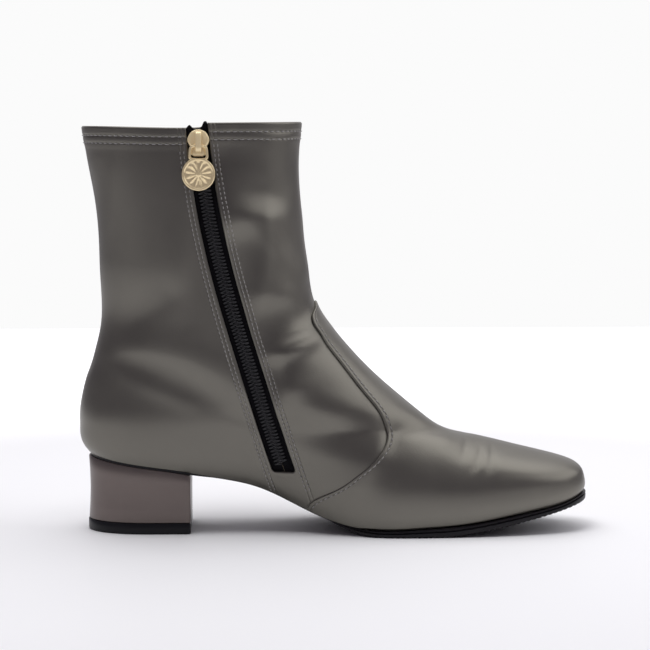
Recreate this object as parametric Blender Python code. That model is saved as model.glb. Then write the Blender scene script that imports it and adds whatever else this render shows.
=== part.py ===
"""A left ankle boot of stretch leather: hollow upper, lapped vamp, block heel and a zip on the inner side.

Frame: +X to the toe, +Y to the outer side of the foot, +Z up. The floor is z = 0 and the origin lies
under the middle of the boot's length. All sizes are in metres. In the tables, lengths along the boot are
counted from the back of the heel and heights from the floor.
"""

import math

import bmesh
import bpy
import numpy as np
from mathutils import Matrix, Vector

# Driving sizes
LENGTH = 0.2612  # back of the heel to the toe edge of the sole
MIDDLE = 0.1301  # the middle of that length in the tables
GAP = 0.0003  # clearance between pieces that touch on the real boot
WALL = 0.0016  # stretch leather with its lining
VAMP_THICKNESS = 0.0007
VAMP_GAP = 0.0006  # wider than GAP, for the facets of the rounded toe
INSOLE_THICKNESS = 0.0025
COLLAR_HEM = 0.0080  # height of the folded edge at the collar
HEM_STEP = 0.0006  # how far the folded edge stands out

# The upper as rings, from the feather edge above the sole to the collar. Each ring runs from the back of
# the boot to its front: dip is the share of the sole line's fall that it follows, heel_w, waist_w and ball_w
# are half widths, tail and nose are the lengths over which the ring rounds off at the back and at the front,
# and square is the power of the front: 2 is round, more is blunter.
RING_COLUMNS = (
    *("back_x", "back_z", "front_x", "front_z", "dip"),
    *("heel_w", "waist_w", "ball_w", "tail", "nose", "square"),
)
RINGS = (
    (0.0046, 0.0398, 0.2578, 0.0197, 1.00, 0.0255, 0.0225, 0.0385, 0.038, 0.140, 2.8),
    (0.0013, 0.0440, 0.2591, 0.0231, 0.90, 0.0285, 0.0268, 0.0403, 0.040, 0.140, 2.9),
    (-0.0003, 0.0492, 0.2583, 0.0278, 0.78, 0.0302, 0.0294, 0.0410, 0.042, 0.140, 2.8),
    (-0.0004, 0.0545, 0.2545, 0.0325, 0.66, 0.0306, 0.0308, 0.0406, 0.043, 0.140, 2.6),
    (-0.0004, 0.0600, 0.2410, 0.0371, 0.54, 0.0306, 0.0316, 0.0393, 0.043, 0.138, 2.2),
    (0.0002, 0.0660, 0.2220, 0.0418, 0.42, 0.0306, 0.0322, 0.0380, 0.043, 0.142, 2.0),
    (0.0014, 0.0720, 0.2030, 0.0463, 0.30, 0.0306, 0.0326, 0.0364, 0.044, 0.150, 2.0),
    (0.0031, 0.0785, 0.1862, 0.0500, 0.18, 0.0306, 0.0328, 0.0352, 0.045, 0.125, 2.0),
    (0.0055, 0.0850, 0.1735, 0.0589, 0.08, 0.0306, 0.0330, 0.0340, 0.046, 0.078, 2.0),
    (0.0078, 0.0920, 0.1590, 0.0713, 0.02, 0.0308, 0.0330, 0.0335, 0.048, 0.068, 2.0),
    (0.0096, 0.0995, 0.1458, 0.0836, 0.00, 0.0310, 0.0328, 0.0330, 0.050, 0.060, 2.0),
    (0.0109, 0.1080, 0.1326, 0.0982, 0.00, 0.0312, 0.0326, 0.0326, 0.051, 0.055, 2.0),
    (0.0115, 0.1185, 0.1211, 0.1150, 0.00, 0.0314, 0.0320, 0.0320, 0.052, 0.052, 2.0),
    (0.0114, 0.1330, 0.1165, 0.1330, 0.00, 0.0316, 0.0318, 0.0318, 0.052, 0.052, 2.0),
    (0.0106, 0.1500, 0.1144, 0.1500, 0.00, 0.0319, 0.0320, 0.0320, 0.052, 0.052, 2.0),
    (0.0081, 0.1700, 0.1135, 0.1704, 0.00, 0.0322, 0.0322, 0.0322, 0.052, 0.052, 2.0),
    (0.0048, 0.1880, 0.1129, 0.1888, 0.00, 0.0324, 0.0324, 0.0324, 0.053, 0.053, 2.0),
    (0.0019, 0.2071, 0.1138, 0.2080, 0.00, 0.0325, 0.0325, 0.0325, 0.055, 0.054, 2.0),
)
COLLAR_RING = len(RINGS) - 1
ROUNDING = 2.5  # power of the rounded ends: 2 is an ellipse, more is squarer

# Where the half widths apply along the boot, and how the foot's middle line swings to the outer side
HEEL_AT, WAIST_AT, BALL_AT = 0.035, 0.095, 0.165
SWING_COLUMNS = ("along", "outward")
SWING = (
    (0.000, 0.0000),
    (0.045, 0.0004),
    (0.095, 0.0026),
    (0.150, 0.0010),
    (0.200, -0.0008),
    (0.262, -0.0024),
)
SWING_RINGS = (4.0, 10.0)  # the swing and the skew of the toes fade out between these rings
TOE_SKEW = 0.10  # the inner side stays full further forward, the outer side tapers sooner

# The line where the upper meets the sole, seen from the side
SOLE_LINE_COLUMNS = ("along", "rise")
SOLE_LINE = (
    (0.0046, 0.0398),
    (0.0210, 0.0371),
    (0.0345, 0.0352),
    (0.0510, 0.0327),
    (0.0670, 0.0295),
    (0.0910, 0.0238),
    (0.1130, 0.0136),
    (0.1330, 0.0059),
    (0.1510, 0.0035),
    (0.1755, 0.0045),
    (0.1930, 0.0058),
    (0.2085, 0.0081),
    (0.2340, 0.0128),
    (0.2504, 0.0166),
    (0.2578, 0.0197),
)

# Sole
HEEL_BREAST = 0.0567  # front face of the heel
SEAT_THICKNESS = 0.0008
WAIST_THICKNESS = 0.0009
SEAT_MARGIN, WAIST_MARGIN, FOREFOOT_MARGIN = -0.0006, -0.0055, 0.0030  # sole edge outside the feather edge
WAIST_START, WAIST_END = 0.072, 0.124  # the narrow waist; the forefoot is full width from FOREFOOT_START
FOREFOOT_START = 0.152
TREAD_START, TREAD_END = 0.156, 0.185  # flat stretch that stands on the floor
TOE_SPRING, TOE_SPRING_POWER = 0.0153, 1.3
SOLE_SIDE_COLUMNS = ("down", "inset")  # share of the thickness, and the forefoot side's step inwards
SOLE_SIDE = (
    (0.00, 0.0003),
    (0.05, 0.0),
    (0.20, 0.0),
    (0.26, 0.0006),
    (0.38, 0.0006),
    (0.46, 0.0),
    (0.90, 0.0002),
    (1.00, 0.0008),
)

# Heel and top lift
HEEL_BACK = 0.0040
HEEL_TOP_WIDTH, HEEL_FOOT_WIDTH = 0.0262, 0.0240  # half widths
HEEL_TAIL = 0.036
HEEL_WAISTING = 0.0007  # the sides draw in a little at mid height
HEEL_CORNER = 0.0010
LIFT_THICKNESS = 0.0055
LIFT_BEVEL = 0.0004

# Zip: its middle line falls from the collar and leans to the toe
ZIP_TOP_X, ZIP_LEAN, ZIP_CURVE = 0.0608, 0.125, 0.692  # curve is per metre of fall
SLOT_HALF_WIDTH = 0.0057
SLOT_FOOT = 0.0325  # height of the slot's lower end
TAPE_HALF_WIDTH, TAPE_THICKNESS, TAPE_FOOT = 0.0125, 0.0005, 0.0270
TAPE_SPLIT, TAPE_SPLIT_HEIGHT = 0.0016, 0.2020  # half the opening between the tapes above the slider
SLIDER_HEIGHT = 0.1985  # middle of the slider above the floor
CHAIN_HALF_WIDTH, CHAIN_HEIGHT = 0.0031, 0.0016
CHAIN_FOOT, CHAIN_TOP = 0.0355, SLIDER_HEIGHT + 0.0022
CHAIN_SECTION_COLUMNS = ("beside", "up")  # shares of the half width and of the height
CHAIN_SECTION = ((0.75, 0.0), (1.0, 0.15), (1.0, 0.6), (0.75, 0.95), (0.3, 1.0), (0.05, 0.88))

# Slider: a plate outside the coil and one inside it, held together by a post, with a bridge for the pull.
# Heights are counted from the slider's middle, and lifts outwards from the upper's face.
PLATE_LIFT = 0.00035
PLATE_THICKNESS = 0.0014
PLATE_BEVEL = 0.0004
PLATE_COLUMNS = ("up", "half_width")
PLATE = (
    (-0.0068, 0.0020),
    (-0.0062, 0.0031),
    (-0.0030, 0.0036),
    (-0.0012, 0.0044),
    (0.0006, 0.0053),
    (0.0022, 0.0054),
    (0.0042, 0.0045),
    (0.0058, 0.0030),
    (0.0066, 0.0012),
)
BACK_PLATE_LIFT, BACK_PLATE_THICKNESS, BACK_PLATE_INSET = -0.0038, 0.0010, 0.0004
POST_HALF_WIDTH, POST_LOW, POST_HIGH = 0.0010, 0.0042, 0.0060
BRIDGE_HALF_WIDTH = 0.0015
BRIDGE_THICKNESS = 0.0011
BRIDGE_ROOM = 0.0020  # free height under the bridge
BRIDGE_LOW, BRIDGE_HIGH = -0.0055, 0.0058
BRIDGE_CORNER = 0.0012

# Pull: a wire window that hangs on a bar under the bridge, with a round medallion below it
PULL_BAR_UP = -0.0015  # the bar, from the slider's middle
PULL_BAR_RADIUS = 0.0007
PULL_WINDOW = 0.0060  # from the bar down to the lower edge of the window
PULL_TOP_WIDTH, PULL_FOOT_WIDTH = 0.0039, 0.0045  # half widths at the wire's middle
PULL_CORNER = 0.0009
MEDAL_RADIUS, MEDAL_THICKNESS = 0.0083, 0.0015
MEDAL_RIM, MEDAL_RELIEF, MEDAL_EDGE = 0.0012, 0.00025, 0.0003
MEDAL_DOWN = 0.0140  # from the bar to the medallion's middle

# Vamp seam on the inner side, seen from the side: the vamp laps over everything in front of it
SEAM_COLUMNS = ("along", "rise")
SEAM = (
    (0.1155, 0.0125),
    (0.1190, 0.0178),
    (0.1299, 0.0236),
    (0.1399, 0.0303),
    (0.1483, 0.0367),
    (0.1535, 0.0423),
    (0.1556, 0.0492),
    (0.1532, 0.0585),
    (0.1423, 0.0745),
    (0.1280, 0.0930),
    (0.1190, 0.1062),
    (0.1184, 0.1108),
)
VAMP_TOP_RING = 12.12  # the tongue's rounded end
VAMP_FOOT_RING = 0.38
TONGUE_HALF_ANGLE = 0.10
# Rings that the upper and the vamp share over the foot, so that their facets lie parallel
FOOT_RINGS = (0.5, 1, 1.5, 2, 2.5, 3, 3.5, 4, 5, 6, 7, 8, 9, 10, 11, 11.5, 11.85, VAMP_TOP_RING)

MATERIALS = {  # name: base colour, roughness, metallic
    "leather_pewter": ((0.125, 0.118, 0.104), 0.42, 0.35),
    "heel_cover": ((0.130, 0.108, 0.098), 0.38, 0.40),
    "rubber_black": ((0.010, 0.009, 0.011), 0.55, 0.0),
    "insole_cloth": ((0.300, 0.255, 0.200), 0.80, 0.0),
    "tape_black": ((0.006, 0.006, 0.007), 0.75, 0.0),
    "gold": ((0.830, 0.660, 0.410), 0.22, 1.0),
}


def clear_scene():
    for obj in list(bpy.data.objects):
        bpy.data.objects.remove(obj, do_unlink=True)


def make_materials():
    for name, (colour, roughness, metallic) in MATERIALS.items():
        material = bpy.data.materials.new(name)
        material.use_nodes = True
        shader = material.node_tree.nodes["Principled BSDF"]
        shader.inputs["Base Color"].default_value = (*colour, 1.0)
        shader.inputs["Roughness"].default_value = roughness
        shader.inputs["Metallic"].default_value = metallic


# Curves through the tables


def spline(knots, rows, at):
    """A natural cubic curve through the table's rows, read at each place in at, with the columns last."""
    knots = np.asarray(knots, float)
    rows = np.asarray(rows, float).reshape(len(knots), -1)
    at = np.asarray(at, float)
    step = np.diff(knots)
    slope = np.diff(rows, axis=0) / step[:, None]
    system = np.eye(len(knots))
    pull = np.zeros_like(rows)
    for i in range(1, len(knots) - 1):
        system[i, i - 1 : i + 2] = step[i - 1], 2 * (step[i - 1] + step[i]), step[i]
        pull[i] = 6 * (slope[i] - slope[i - 1])
    bend = np.linalg.solve(system, pull)
    i = np.clip(np.searchsorted(knots, at) - 1, 0, len(knots) - 2)
    h, after, before = (q[..., None] for q in (step[i], at - knots[i], knots[i + 1] - at))
    return (
        (bend[i] * before**3 + bend[i + 1] * after**3) / (6 * h)
        + (rows[i] / h - bend[i] * h / 6) * before
        + (rows[i + 1] / h - bend[i + 1] * h / 6) * after
    )


def column(table, at):
    """The second column of a two-column table, read along its first."""
    table = np.asarray(table)
    return spline(table[:, 0], table[:, 1], at)[..., 0]


def ease(low, high, at):
    """0 before low, 1 after high, smooth between."""
    t = np.clip((np.asarray(at, float) - low) / (high - low), 0, 1)
    return t * t * (3 - 2 * t)


# The upper's own function


def ring_sizes(ring):
    values = spline(range(len(RINGS)), RINGS, ring)
    return {name: values[..., i] for i, name in enumerate(RING_COLUMNS)}


def sole_fall(share):
    """How far the sole line lies under the straight line between its ends."""
    first, last = SOLE_LINE[0], SOLE_LINE[-1]
    along = first[0] + share * (last[0] - first[0])
    return column(SOLE_LINE, along) - (first[1] + share * (last[1] - first[1]))


def rounded_end(distance, length, square=2.0):
    """0 at a ring's end, rising like an arc to 1 at this distance from it."""
    left = np.clip(1 - distance / length, 0, 1)
    return np.clip(1 - left**ROUNDING, 0, 1) ** (1 / square)


def side_view(share, ring):
    """Along and height of the point that lies this share of the way from a ring's back to its front."""
    r = ring_sizes(ring)
    along = r["back_x"] + share * (r["front_x"] - r["back_x"])
    rise = r["back_z"] + share * (r["front_z"] - r["back_z"]) + r["dip"] * sole_fall(share)
    return along, rise


def upper_point(turn, ring):
    """A point of the outer face. turn runs from 0 at the back by the inner side to pi at the front."""
    turn, ring = np.broadcast_arrays(np.asarray(turn, float), np.asarray(ring, float))
    r = ring_sizes(ring)
    share = (1 - np.cos(turn)) / 2
    along, rise = side_view(share, ring)
    span = r["front_x"] - r["back_x"]
    outer = np.where(np.sin(turn) < 0, 1.0, -1.0)
    foot = 1 - ease(*SWING_RINGS, ring)
    width = r["heel_w"] + (r["waist_w"] - r["heel_w"]) * ease(HEEL_AT, WAIST_AT, along)
    width = width + (r["ball_w"] - r["waist_w"]) * ease(WAIST_AT, BALL_AT, along)
    nose = r["nose"] * (1 + TOE_SKEW * outer * foot)
    width = width * rounded_end(span * (1 - share), nose, r["square"])
    width = width * rounded_end(span * share, r["tail"])
    across = outer * width + foot * column(SWING, along)
    return np.stack([along - MIDDLE, across, rise], axis=-1)


def upper_normal(turn, ring):
    small_turn, small_ring = 1e-3, 1e-2
    along_turn = upper_point(turn + small_turn, ring) - upper_point(turn - small_turn, ring)
    along_ring = upper_point(turn, ring + small_ring) - upper_point(turn, ring - small_ring)
    normal = np.cross(along_turn, along_ring)
    return normal / np.linalg.norm(normal, axis=-1, keepdims=True)


def skin(turn, ring, lift):
    """The upper's face moved out by lift along its normal."""
    lift = np.asarray(lift, float)[..., None]
    return upper_point(turn, ring) + lift * upper_normal(turn, ring)


def find_on_inner_side(along, rise):
    """turn and ring of the inner side's point at this place of the side view, by halving the rings."""
    along, rise = np.broadcast_arrays(np.asarray(along, float), np.asarray(rise, float))
    low = np.zeros(along.shape)
    high = np.full(along.shape, float(COLLAR_RING) + 0.5)
    for _ in range(40):
        middle = (low + high) / 2
        r = ring_sizes(middle)
        share = (along - r["back_x"]) / (r["front_x"] - r["back_x"])
        above = (share > 1) | (side_view(np.clip(share, 0, 1), middle)[1] > rise)
        high = np.where(above, middle, high)
        low = np.where(above, low, middle)
    r = ring_sizes(low)
    share = np.clip((along - r["back_x"]) / (r["front_x"] - r["back_x"]), 0, 1)
    return np.arccos(1 - 2 * share), low


# Solids from sections


def make_object(name, points, faces, material):
    """One closed solid with its faces turned outwards, shaded smooth between its sharp edges."""
    mesh = bpy.data.meshes.new(name)
    mesh.from_pydata([tuple(p) for p in np.asarray(points).reshape(-1, 3)], [], faces)
    form = bmesh.new()
    form.from_mesh(mesh)
    bmesh.ops.remove_doubles(form, verts=form.verts, dist=1e-6)
    bmesh.ops.recalc_face_normals(form, faces=form.faces)
    form.to_mesh(mesh)
    form.free()
    mesh.shade_smooth()
    mesh.set_sharp_from_angle(angle=math.radians(40))
    mesh.materials.append(bpy.data.materials[material])
    obj = bpy.data.objects.new(name, mesh)
    bpy.context.scene.collection.objects.link(obj)
    return obj


def loft(name, loops, material):
    """A solid through closed loops of one size. A loop runs down one side and back up the other, so a ladder
    of faces across it closes each end of the solid."""
    loops = np.asarray(loops)
    count, size = loops.shape[:2]
    faces = []
    for i in range(count - 1):
        for j in range(size):
            a, b = i * size, i * size + size
            k = (j + 1) % size
            faces.append((a + j, a + k, b + k, b + j))
    for start in (0, (count - 1) * size):
        for k in range(size // 2 - 1):
            faces.append((start + k, start + k + 1, start + size - k - 2, start + size - k - 1))
    return make_object(name, loops, faces, material)


def wall(name, outer, inner, material, joined=None):
    """A wall between two grids of points. joined marks rows whose last column is their first one again."""
    rows, columns = outer.shape[:2]
    joined = np.zeros(rows, bool) if joined is None else joined
    number = np.arange(rows * columns).reshape(rows, columns)
    number[joined, -1] = number[joined, 0]
    back = number + rows * columns
    faces = []
    for i in range(rows - 1):
        for j in range(columns - 1):
            square = ((i, j), (i, j + 1), (i + 1, j + 1), (i + 1, j))
            faces.append(tuple(number[p] for p in square))
            faces.append(tuple(back[p] for p in reversed(square)))
    edges = [((i, j), (i, j + 1)) for i in (0, rows - 1) for j in range(columns - 1)]
    open_rows = [i for i in range(rows - 1) if not (joined[i] and joined[i + 1])]
    edges += [((i, j), (i + 1, j)) for i in open_rows for j in (0, columns - 1)]
    faces += [(number[a], number[b], back[b], back[a]) for a, b in edges]
    used, faces = np.unique([list(f) for f in faces], return_inverse=True)
    points = np.concatenate([outer.reshape(-1, 3), inner.reshape(-1, 3)])[used]
    return make_object(name, points, faces.reshape(-1, 4).tolist(), material)


def joined_solid(pieces):
    """The first piece with the others fused to it."""
    first, *others = pieces
    for other in others:
        other.hide_render = True
        other.display_type = "WIRE"
        union = first.modifiers.new("join " + other.name, "BOOLEAN")
        union.operation = "UNION"
        union.object = other
    return first


# Upper and vamp


def zip_x(rise):
    fall = RINGS[-1][1] - np.asarray(rise, float)
    return ZIP_TOP_X + ZIP_LEAN * fall + ZIP_CURVE * fall**2


def zip_slope(rise):
    """How fast the zip's line moves to the toe as it falls."""
    fall = RINGS[-1][1] - np.asarray(rise, float)
    return ZIP_LEAN + 2 * ZIP_CURVE * fall


def slot_turn(ring, beside):
    """Where each ring crosses the line that lies this far beside the zip's middle line."""
    ring = np.asarray(ring, float)
    r = ring_sizes(ring)
    share = np.full(ring.shape, 0.45)  # a first guess, which the steps bring to the line
    for _ in range(20):
        rise = side_view(share, ring)[1]
        along = zip_x(rise) + beside * np.sqrt(1 + zip_slope(rise) ** 2)
        share = (along - r["back_x"]) / (r["front_x"] - r["back_x"])
    return np.arccos(1 - 2 * share)


def make_upper():
    around = 46
    slot_taper, hem_edge = 0.1, 0.03  # in rings
    slot_ring = float(find_on_inner_side(zip_x(SLOT_FOOT), SLOT_FOOT)[1])
    back_heights = [row[1] for row in RINGS]
    hem_ring = float(np.interp(back_heights[-1] - COLLAR_HEM, back_heights, range(len(RINGS))))
    rings = [0, *FOOT_RINGS, 13, 14, 15, 16, COLLAR_RING]
    rings = np.sort(rings + [slot_ring - slot_taper, slot_ring, hem_ring, hem_ring + hem_edge])
    beside = np.where(rings < slot_ring, 0.0, SLOT_HALF_WIDTH)
    front_edge, back_edge = slot_turn(rings, beside), slot_turn(rings, -beside)
    part_way = np.linspace(0, 1, around + 1)
    turn = front_edge[:, None] + part_way * (back_edge + 2 * math.pi - front_edge)[:, None]
    ring = np.broadcast_to(rings[:, None], turn.shape)
    lift = np.where(ring > hem_ring, HEM_STEP, 0.0)
    inner = skin(turn, ring, -WALL)
    wall("upper", skin(turn, ring, lift), inner, "leather_pewter", rings < slot_ring)


def make_vamp():
    seam = np.asarray(SEAM)
    turn, ring = find_on_inner_side(seam[:, 0], seam[:, 1])
    turn = np.append(turn, math.pi - TONGUE_HALF_ANGLE)
    ring = np.append(ring, VAMP_TOP_RING)
    rows = np.array([VAMP_FOOT_RING, *FOOT_RINGS])
    half = math.pi - spline(ring, turn, rows)[:, 0]
    columns = 32
    turns = math.pi + half[:, None] * np.linspace(-1, 1, columns + 1)
    rings = np.broadcast_to(rows[:, None], turns.shape)
    inner = skin(turns, rings, np.full(turns.shape, VAMP_GAP))
    outer = skin(turns, rings, np.full(turns.shape, VAMP_GAP + VAMP_THICKNESS))
    wall("vamp", outer, inner, "leather_pewter")


# Sole pieces


def feather_loop(margin, count=56):
    """The feather edge moved out in plan by a margin that may change along the boot."""
    turn = (np.arange(count) + 0.5) * 2 * math.pi / count
    points = upper_point(turn, np.zeros(count))
    along = points[:, 0] + MIDDLE
    tangent = upper_point(turn + 1e-3, np.zeros(count)) - upper_point(turn - 1e-3, np.zeros(count))
    outward = np.stack([tangent[:, 1], -tangent[:, 0]], axis=-1)
    outward /= np.linalg.norm(outward, axis=-1, keepdims=True)
    points[:, :2] += outward * np.broadcast_to(margin(along), (count,))[:, None]
    return points


def sole_top(along):
    return column(SOLE_LINE, np.clip(along, SOLE_LINE[0][0], SOLE_LINE[-1][0])) - GAP


def sole_bottom(along):
    """Thin under the heel seat and the waist, flat where the forefoot stands, rising to the toe."""
    along = np.asarray(along, float)
    thin = SEAT_THICKNESS + (WAIST_THICKNESS - SEAT_THICKNESS) * ease(HEEL_BREAST, WAIST_START, along)
    ahead = np.clip((along - TREAD_END) / (LENGTH - TREAD_END), 0, None)
    spring = TOE_SPRING * ahead**TOE_SPRING_POWER
    forefoot = ease(WAIST_END, TREAD_START, along)
    return (sole_top(along) - thin) * (1 - forefoot) + spring * forefoot


def sole_margin(along):
    margin = SEAT_MARGIN + (WAIST_MARGIN - SEAT_MARGIN) * ease(HEEL_BREAST, WAIST_START, along)
    return margin + (FOREFOOT_MARGIN - WAIST_MARGIN) * ease(WAIST_END, FOREFOOT_START, along)


def make_outsole():
    loops = []
    for down, inset in SOLE_SIDE:

        def edge(along, inset=inset):
            return sole_margin(along) - inset * ease(WAIST_END, FOREFOOT_START, along)

        loop = feather_loop(edge)
        along = loop[:, 0] + MIDDLE
        top, bottom = sole_top(along), sole_bottom(along)
        loop[:, 2] = top + down * (bottom - top)
        loops.append(loop)
    loft("outsole", loops, "rubber_black")


def make_insole():
    count = 56
    turn = (np.arange(count) + 0.5) * 2 * math.pi / count
    loop = skin(turn, np.zeros(count), np.full(count, -WALL - 2 * GAP))
    loop[:, 2] = sole_top(loop[:, 0] + MIDDLE) + GAP
    lifted = loop + np.array([0, 0, INSOLE_THICKNESS])
    loft("insole", [loop, lifted], "insole_cloth")


def heel_loop(back, half_width, count=44):
    """A U in plan: rounded at the back, straight sides and a flat breast with small corners."""
    first = 0.04  # just off the middle line, where the U's two halves meet
    step = np.linspace(first, math.pi / 2, count // 2 - 1)
    distance = (HEEL_BREAST - HEEL_CORNER - back) * (1 - np.cos(step))
    along = np.append(back + distance, HEEL_BREAST)
    across = np.append(half_width * rounded_end(distance, HEEL_TAIL), half_width - HEEL_CORNER)
    points = np.stack([along - MIDDLE, -across, np.zeros(count // 2)], axis=-1)
    return np.concatenate([points, points[::-1] * np.array([1, -1, 1])])


def make_heel():
    foot = LIFT_THICKNESS + GAP
    loops = []
    for up in (1.0, 0.75, 0.5, 0.25, 0.0):
        waisting = HEEL_WAISTING * math.sin(math.pi * up)
        width = HEEL_FOOT_WIDTH + (HEEL_TOP_WIDTH - HEEL_FOOT_WIDTH) * up**1.5 - waisting
        loop = heel_loop(HEEL_BACK + waisting, width)
        top = sole_top(loop[:, 0] + MIDDLE) - SEAT_THICKNESS - GAP
        loop[:, 2] = foot + up * (top - foot)
        loops.append(loop)
    loft("heel_block", loops, "heel_cover")


def make_top_lift():
    loops = []
    for rise, inset in ((LIFT_THICKNESS, 0), (LIFT_BEVEL, 0), (0, LIFT_BEVEL)):
        loop = heel_loop(HEEL_BACK - GAP + inset, HEEL_FOOT_WIDTH + GAP - inset)
        loop[:, 2] = rise
        loops.append(loop)
    loft("top_lift", loops, "rubber_black")


# Zip


def beside_zip(rise, beside, lift):
    """Points at these heights on the zip's line, moved sideways along the wall and lifted off it."""
    rise, beside, lift = np.broadcast_arrays(*(np.asarray(q, float) for q in (rise, beside, lift)))
    slope = zip_slope(rise)
    size = np.sqrt(1 + slope**2)
    level = np.minimum(rise + beside * slope / size, RINGS[-1][1] - GAP)
    turn, ring = find_on_inner_side(zip_x(rise) + beside / size, level)
    return skin(turn, ring, lift)


def make_tape(name, side):
    """side is 1 for the tape in front of the chain and -1 for the one behind it."""
    rise = np.linspace(TAPE_FOOT, SLIDER_HEIGHT, 20)
    rise = np.append(rise, np.linspace(SLIDER_HEIGHT, RINGS[-1][1] - GAP, 4)[1:])
    split = GAP / 2 + TAPE_SPLIT * ease(SLIDER_HEIGHT, TAPE_SPLIT_HEIGHT, rise)
    across = split[:, None] + (TAPE_HALF_WIDTH - split)[:, None] * np.linspace(0, 1, 4)
    rise = np.broadcast_to(rise[:, None], across.shape)
    face = -(WALL + GAP)
    outer = beside_zip(rise, side * across, face)
    wall(name, outer, beside_zip(rise, side * across, face - TAPE_THICKNESS), "tape_black")


def make_chain():
    """The closed coil: a low rounded bar with a groove along its middle."""
    section = np.array(CHAIN_SECTION)
    section = np.concatenate([section, section[::-1] * np.array([-1, 1])])
    across = section[:, 0] * CHAIN_HALF_WIDTH
    lift = section[:, 1] * CHAIN_HEIGHT - WALL
    heights = np.linspace(CHAIN_FOOT, CHAIN_TOP, 26)
    loft("zip_chain", [beside_zip(rise, across, lift) for rise in heights], "tape_black")


def slider_frame():
    """At the wall's face under the slider's middle: X to the toe along the wall, Y into the boot, Z up."""
    turn, ring = find_on_inner_side(zip_x(SLIDER_HEIGHT), SLIDER_HEIGHT)
    out = upper_normal(turn, ring)
    yaw = math.atan2(out[0], -out[1])
    return Matrix.Translation(Vector(upper_point(turn, ring))) @ Matrix.Rotation(yaw, 4, "Z")


def pull_bar_lift():
    return PLATE_LIFT + PLATE_THICKNESS + BRIDGE_ROOM / 2


def plate_loops(lifts, shrink):
    """The slider's outline at these lifts, as loops that run down one side and back up the other."""
    up, half = np.array(PLATE)[::-1].T
    loops = []
    for lift, less in zip(lifts, shrink):
        edge = np.stack([half - less, np.full(len(up), -lift), up], axis=-1)
        loops.append(np.concatenate([edge, edge[::-1] * np.array([-1, 1, 1])]))
    return loops


def box_loops(half_width, low, high, back, front):
    """A square bar through the slider, as the loops of its two ends."""
    outline = ((half_width, high), (half_width, low), (-half_width, low), (-half_width, high))
    return [np.array([(x, -lift, z) for x, z in outline]) for lift in (back, front)]


def bridge_loops():
    """A flat strap that rises from the plate's upper end, runs over the bar and comes down below it."""
    base = PLATE_LIFT + PLATE_THICKNESS
    foot = base - PLATE_THICKNESS / 2
    low, high, thick, room = BRIDGE_LOW, BRIDGE_HIGH, BRIDGE_THICKNESS, BRIDGE_ROOM
    corner = BRIDGE_CORNER
    path = (  # up and lift of the inside and of the outside of the strap
        ((high - thick, foot), (high, foot)),
        ((high - thick, base + room - corner), (high, base + room - corner / 2)),
        ((high - thick - corner, base + room), (high - thick - corner / 2, base + room + thick)),
        ((low + thick + corner, base + room), (low + thick + corner / 2, base + room + thick)),
        ((low + thick, base + room - corner), (low, base + room - corner / 2)),
        ((low + thick, foot), (low, foot)),
    )
    loops = []
    for inside, outside in path:
        wide, round_off = BRIDGE_HALF_WIDTH, BRIDGE_HALF_WIDTH * 0.7
        middle = ((inside[0] + outside[0]) / 2, (inside[1] + outside[1]) / 2)
        side = [(round_off, inside), (wide, middle), (round_off, outside)]
        loops.append(side + [(-across, place) for across, place in reversed(side)])
    return [np.array([(x, -lift, up) for x, (up, lift) in loop]) for loop in loops]


def make_slider(frame):
    top = PLATE_LIFT + PLATE_THICKNESS
    plate_outline = plate_loops((PLATE_LIFT, top - PLATE_BEVEL, top), (0, 0, PLATE_BEVEL))
    plate = loft("zip_slider", plate_outline, "gold")
    back_lifts = (BACK_PLATE_LIFT, BACK_PLATE_LIFT + BACK_PLATE_THICKNESS)
    back = loft("slider_back_plate", plate_loops(back_lifts, (BACK_PLATE_INSET, BACK_PLATE_INSET)), "gold")
    post_ends = (BACK_PLATE_LIFT + BACK_PLATE_THICKNESS / 2, PLATE_LIFT + PLATE_THICKNESS / 2)
    post = loft("slider_post", box_loops(POST_HALF_WIDTH, POST_LOW, POST_HIGH, *post_ends), "gold")
    bridge = loft("slider_bridge", bridge_loops(), "gold")
    for piece in (plate, back, post, bridge):
        piece.matrix_world = frame
    joined_solid([plate, post, back, bridge])


def wire(name, path, radius, sides, material):
    """A round wire along a closed flat path of (x, z) points in the pull's own plane."""
    path = np.asarray(path)
    ahead = np.roll(path, -1, axis=0) - np.roll(path, 1, axis=0)
    ahead /= np.linalg.norm(ahead, axis=1, keepdims=True)
    outward = np.stack([ahead[:, 1], -ahead[:, 0]], axis=-1)
    angle = np.linspace(0, 2 * math.pi, sides, endpoint=False)
    flat = path[:, None, :] + radius * np.cos(angle)[None, :, None] * outward[:, None, :]
    lift = np.broadcast_to(radius * np.sin(angle), flat.shape[:2])
    points = np.stack([flat[..., 0], lift, flat[..., 1]], axis=-1)
    count = len(path)
    faces = []
    for i in range(count):
        for j in range(sides):
            k, m = (i + 1) % count, (j + 1) % sides
            faces.append((i * sides + j, i * sides + m, k * sides + m, k * sides + j))
    return make_object(name, points, faces, material)


def medallion(name, material):
    """A disc with a raised rim and a slightly sunk face on both sides, as rings about its middle."""
    sides = 28
    half = MEDAL_THICKNESS / 2
    inner = MEDAL_RADIUS - MEDAL_RIM
    profile = (
        (inner - MEDAL_RELIEF / 2, half - MEDAL_RELIEF),
        (inner, half),
        (MEDAL_RADIUS - MEDAL_EDGE, half),
        (MEDAL_RADIUS, half - MEDAL_EDGE),
    )
    profile += tuple((radius, -lift) for radius, lift in reversed(profile))
    angle = (np.arange(sides) + 0.5) * 2 * math.pi / sides
    loops = []
    for radius, lift in profile:
        up = radius * np.cos(angle) - MEDAL_DOWN
        loops.append(np.stack([radius * np.sin(angle), np.full(sides, -lift), up], axis=-1))
    return loft(name, loops, material)


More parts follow.
